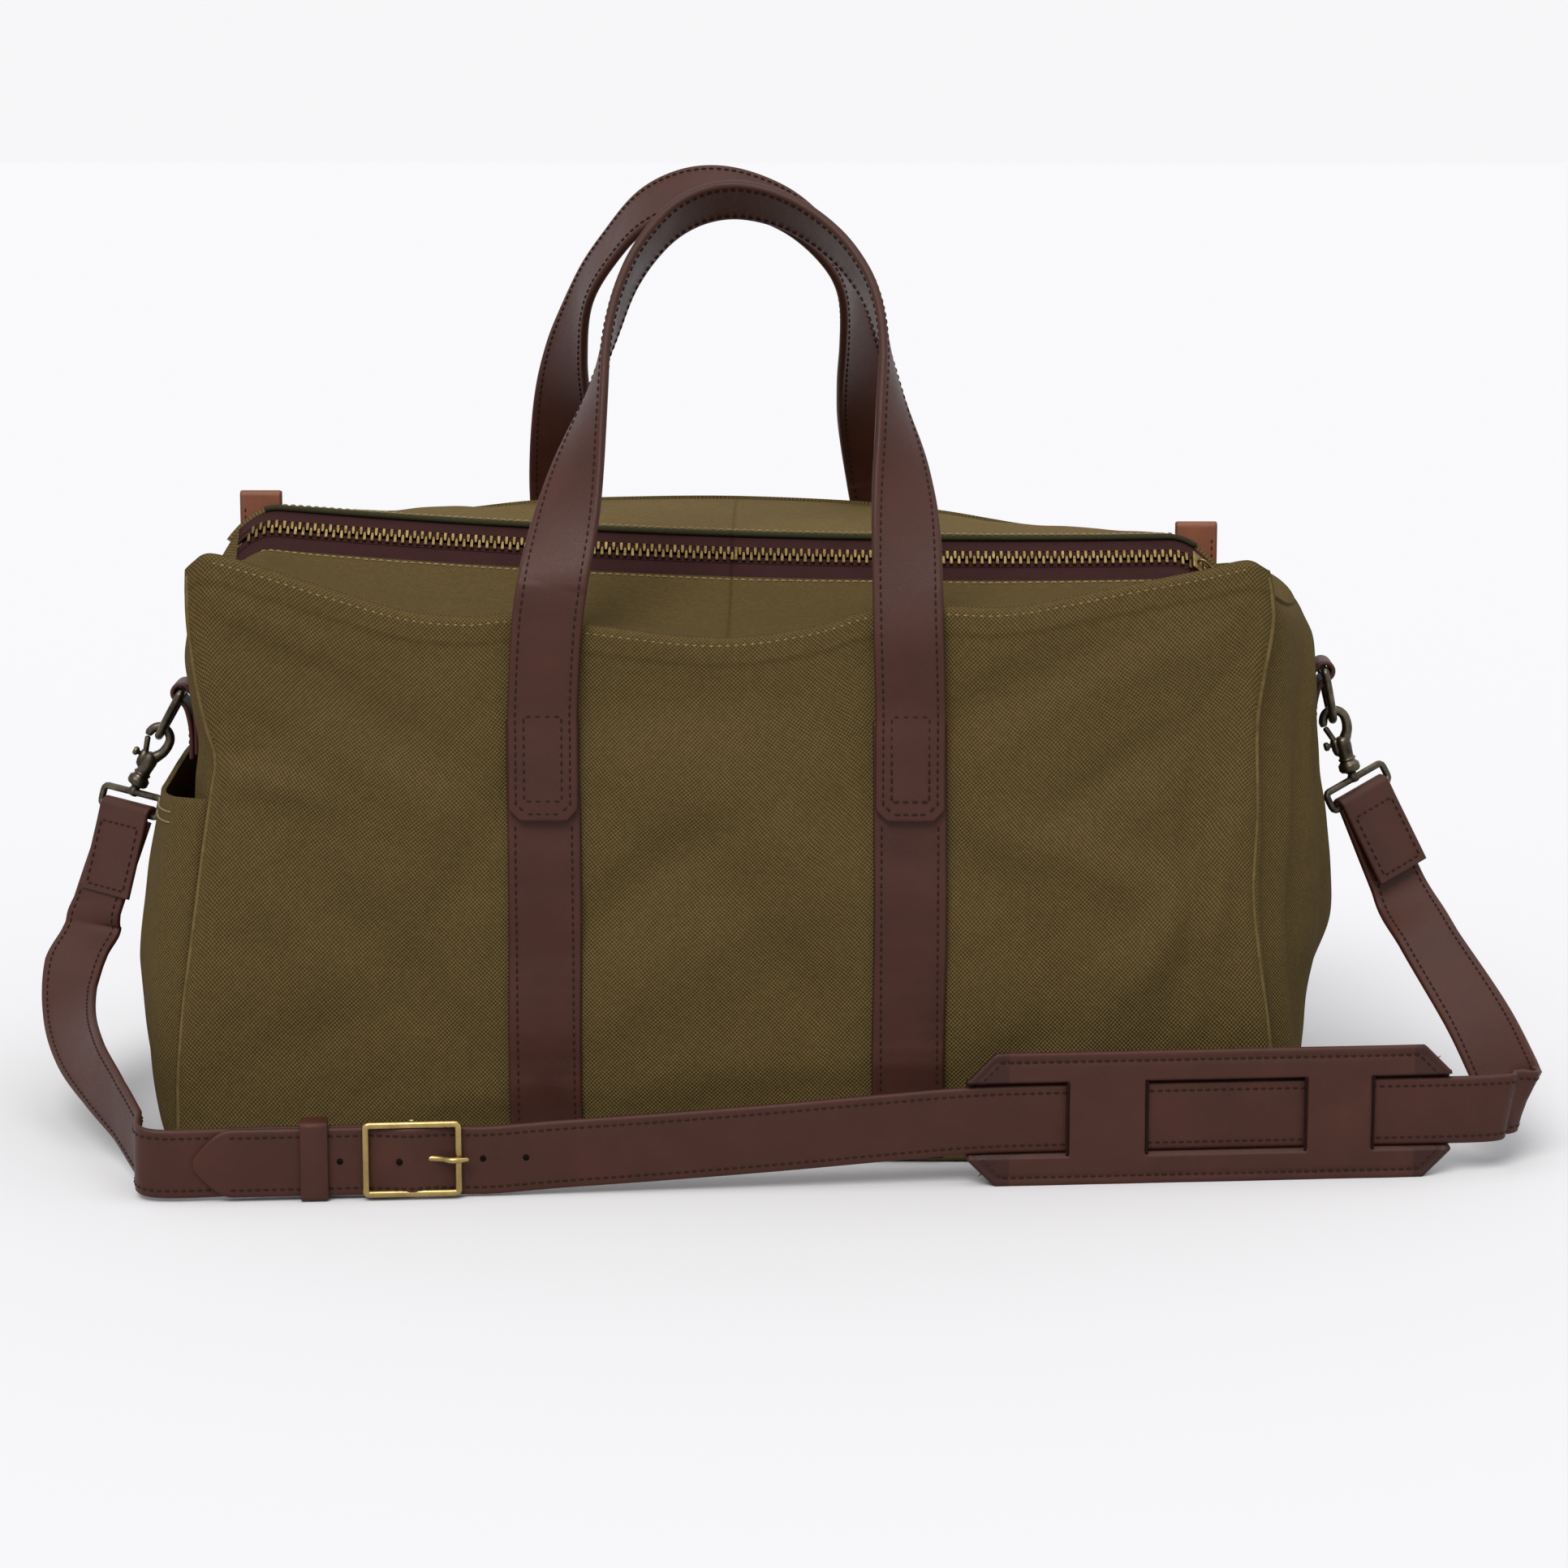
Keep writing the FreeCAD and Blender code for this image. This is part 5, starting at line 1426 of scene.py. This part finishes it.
def make_pad():
    """The slotted leather pad: the strap lies in its channel and runs under its two bridges."""
    cuts = [v for pair in BRIDGES for v in pair]
    x = np.linspace(PAD_START, PAD_START + 2 * PAD_LONG, 150)
    x = np.sort(np.concatenate([[v for v in x if min(abs(v - c) for c in cuts) > 0.9],
                                [c + d for c in cuts for d in (-0.45, 0.45)]]))
    z = np.linspace(-PAD_TALL, PAD_TALL, 60)
    z = np.sort(np.concatenate([[v for v in z if abs(abs(v) - 16.35) > 0.8], [-16.8, -15.9, 15.9, 16.8]]))
    x, z = np.meshgrid(x, z)
    # The corners are cut off at a slant.
    corner = 12.5
    middle = PAD_START + PAD_LONG
    over_x = np.maximum(0, np.abs(x - middle) - (PAD_LONG - corner))
    over_z = np.maximum(0, np.abs(z) - (PAD_TALL - corner))
    shrink = np.maximum(over_x, over_z) / np.maximum(over_x + over_z, 1e-6)
    both = (over_x > 0) & (over_z > 0)
    away = np.minimum(PAD_LONG - np.abs(x - middle), PAD_TALL - np.abs(z))
    shaped_x = np.where(both, middle + np.sign(x - middle) * (PAD_LONG - corner + over_x * shrink), x)
    shaped_z = np.where(both, np.sign(z) * (PAD_TALL - corner + over_z * shrink), z)
    height = pad_height(x, z + PAD_MIDDLE) + 0.25 * ripple(x, z, 71, 60)
    height = height - 0.45 * np.exp(-((away - 4.4) / 0.9) ** 2) - rounding(away, 1.0) + 0.5
    local = np.stack([shaped_x, PAD_FRONT - height, shaped_z + PAD_MIDDLE], -1)
    piece = cloth("pad_leather", on_floor(local), LEATHER_PLAIN, thick=1.7)
    slot_ride(piece, "leather", "shoulder_pad", "shoulder_pad")
    ring = cut_outline(PAD_LONG - 4.4, PAD_TALL - 4.4, corner - 1.8) + [middle, PAD_MIDDLE]
    depth = PAD_FRONT - pad_height(ring[:, 0], ring[:, 1]) - 0.3
    line = on_floor(np.stack([ring[:, 0], depth, ring[:, 1]], -1))
    thread = stitches("pad_stitches", [(line, -FLOOR_AXES[1])], THREAD_DARK)
    slot_ride(thread, "leather", "shoulder_pad")
    # Dark tubes at both ends of each bridge paint the shadow in the slots along their cut edges.
    rims = []
    t = np.linspace(-16.3, 16.3, 40)
    for low, high in BRIDGES:
        for at, side in ((low, -1), (high, 1)):
            depth = PAD_FRONT - pad_height(np.full_like(t, (low + high) / 2), PAD_MIDDLE + t) - 0.2
            path = on_floor(np.stack([at + side * 0.5 + 0 * t, depth, PAD_MIDDLE + t], -1))
            rims.append(tube("slot_rim", path, 0.62, SLOT_SHADE, sides=8))
    piece = join("pad_slots", rims)
    slot_ride(piece, "leather", "shoulder_pad")


def cut_outline(half_u, half_v, cut):
    """A closed rectangle with its corners cut off at a slant."""
    inner_u, inner_v = half_u - cut, half_v - cut
    corners = [(half_u, -inner_v), (half_u, inner_v), (inner_u, half_v), (-inner_u, half_v),
               (-half_u, inner_v), (-half_u, -inner_v), (-inner_u, -half_v), (inner_u, -half_v)]
    out = []
    for (x0, z0), (x1, z1) in zip(corners, corners[1:] + corners[:1]):
        for t in np.linspace(0, 1, 24, endpoint=False):
            out.append((x0 + (x1 - x0) * t, z0 + (z1 - z0) * t))
    return even(np.array(out + out[:1]), 360)


# ---------------------------------------------------------------- inside

def make_lining():
    """The lining: four walls that follow the bag and hang from its top folds."""
    parts = []
    for sign in (-1, 1):
        top = FRONT_TOP if sign < 0 else BACK_TOP
        share, rise = np.meshgrid(np.linspace(0.012, 0.988, 60), np.linspace(0, 1, 40))
        z = 6 + rise * (top(-236 + 472 * share) - 15)
        x = LEFT_EDGE(z) + share * (RIGHT_EDGE(z) - LEFT_EDGE(z))
        points = face_point(x, z, sign, -3.4)
        parts.append(cloth("lining_wall", points, LINING, thick=0.9, flip=sign > 0))
    for edge, crown in ((-1, LEFT_CROWN), (1, RIGHT_CROWN)):
        share, rise = np.meshgrid(np.linspace(0.03, 0.97, 60), np.linspace(0, 1, 40))
        z = 6 + rise * (end_top(share, edge) - 16)
        points = end_point(share, z, edge, crown, half=113.5, swell=-5.5)
        parts.append(cloth("lining_end", points, LINING, thick=0.9, flip=edge < 0))
    piece = join("cloth_lining", parts)
    slot_ride(piece, "lining", "bag", "lining")


def dress_board():
    """Finish the base board that the CAD model made."""
    for obj in bpy.data.objects:
        if obj.get("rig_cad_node") == "base_board" and obj.type == "MESH":
            obj.data.materials.clear()
            obj.data.materials.append(BOARD)


# ---------------------------------------------------------------- stage, camera, light

def make_stage():
    """The pale floor and an even white studio."""
    floor = new_mesh("floor", [(-9000, -9000, -0.4), (9000, -9000, -0.4), (9000, 9000, -0.4),
                               (-9000, 9000, -0.4)], [(0, 1, 2, 3)])
    paper = Shader("backdrop_paper", (0.520, 0.519, 0.530), roughness=0.95, specular=0.0)
    floor.data.materials.append(paper.finish())
    world = bpy.data.worlds.new("studio")
    world.use_nodes = True
    background = world.node_tree.nodes["Background"]
    background.inputs["Color"].default_value = (0.93, 0.925, 0.94, 1)
    background.inputs["Strength"].default_value = 1.0
    bpy.context.scene.world = world
    bpy.context.scene.view_settings.view_transform = "Standard"


def soft_sun(name, source, strength, spread, color):
    """Far, wide studio light: even over the whole floor, with soft-edged shadows."""
    data = bpy.data.lights.new(name, "SUN")
    data.energy, data.angle, data.color = strength, math.radians(spread), color
    lamp = bpy.data.objects.new(name, data)
    lamp.location = source
    lamp.rotation_euler = (-Vector(source)).to_track_quat("-Z", "Y").to_euler()
    bpy.context.collection.objects.link(lamp)


def make_camera():
    """The camera at the photo's viewing angle."""
    data = bpy.data.cameras.new("camera")
    data.sensor_width, data.lens = 36.0, 100.6
    camera = bpy.data.objects.new("camera", data)
    camera.location = (0.042, -2.001, 0.531)
    camera.rotation_euler = (math.radians(90 - 10.83), 0, math.radians(0.52))
    bpy.context.collection.objects.link(camera)
    bpy.context.scene.camera = camera


# ---------------------------------------------------------------- everything together

def make_bag():
    """The canvas body, its zip and its side pouch."""
    make_face("front_canvas", -1)
    make_face("back_canvas", 1)
    make_end("end_canvas_left", "left", -1, LEFT_CROWN)
    make_end("end_canvas_right", "right", 1, RIGHT_CROWN)
    make_base()
    make_corner_seams()
    make_flaps()
    make_fold_stitches()
    make_top_ends()
    for face, sign in (("front", -1), ("back", 1)):
        for side, a, b in (("left", -228.0, 0.0), ("right", 0.0, 222.0)):
            make_tape(face, sign, side, a, b)
    make_teeth()
    make_slider()
    make_zip_tabs()
    make_pocket()


make_bag()
make_lower_straps()
make_handle("front", FRONT_LOOP, -1, 258.0)
make_handle("back", BACK_LOOP, 1, 276.0)
for name, maker in (("left", make_left_strap), ("right", make_right_strap)):
    parts = maker()
    make_chape(name, parts)
    make_ring(name, parts)
    make_hook(name, parts)
    make_eye(name, parts)
    make_sewn_end(name, parts)
make_buckle()
make_holes()
make_pad()
make_lining()
dress_board()
make_stage()
soft_sun("key", (-0.5, -1.7, 2.0), 2.6, 30, (1.0, 0.985, 0.96))
soft_sun("top", (0.5, -0.1, 2.6), 0.9, 55, (1, 1, 1))
make_camera()
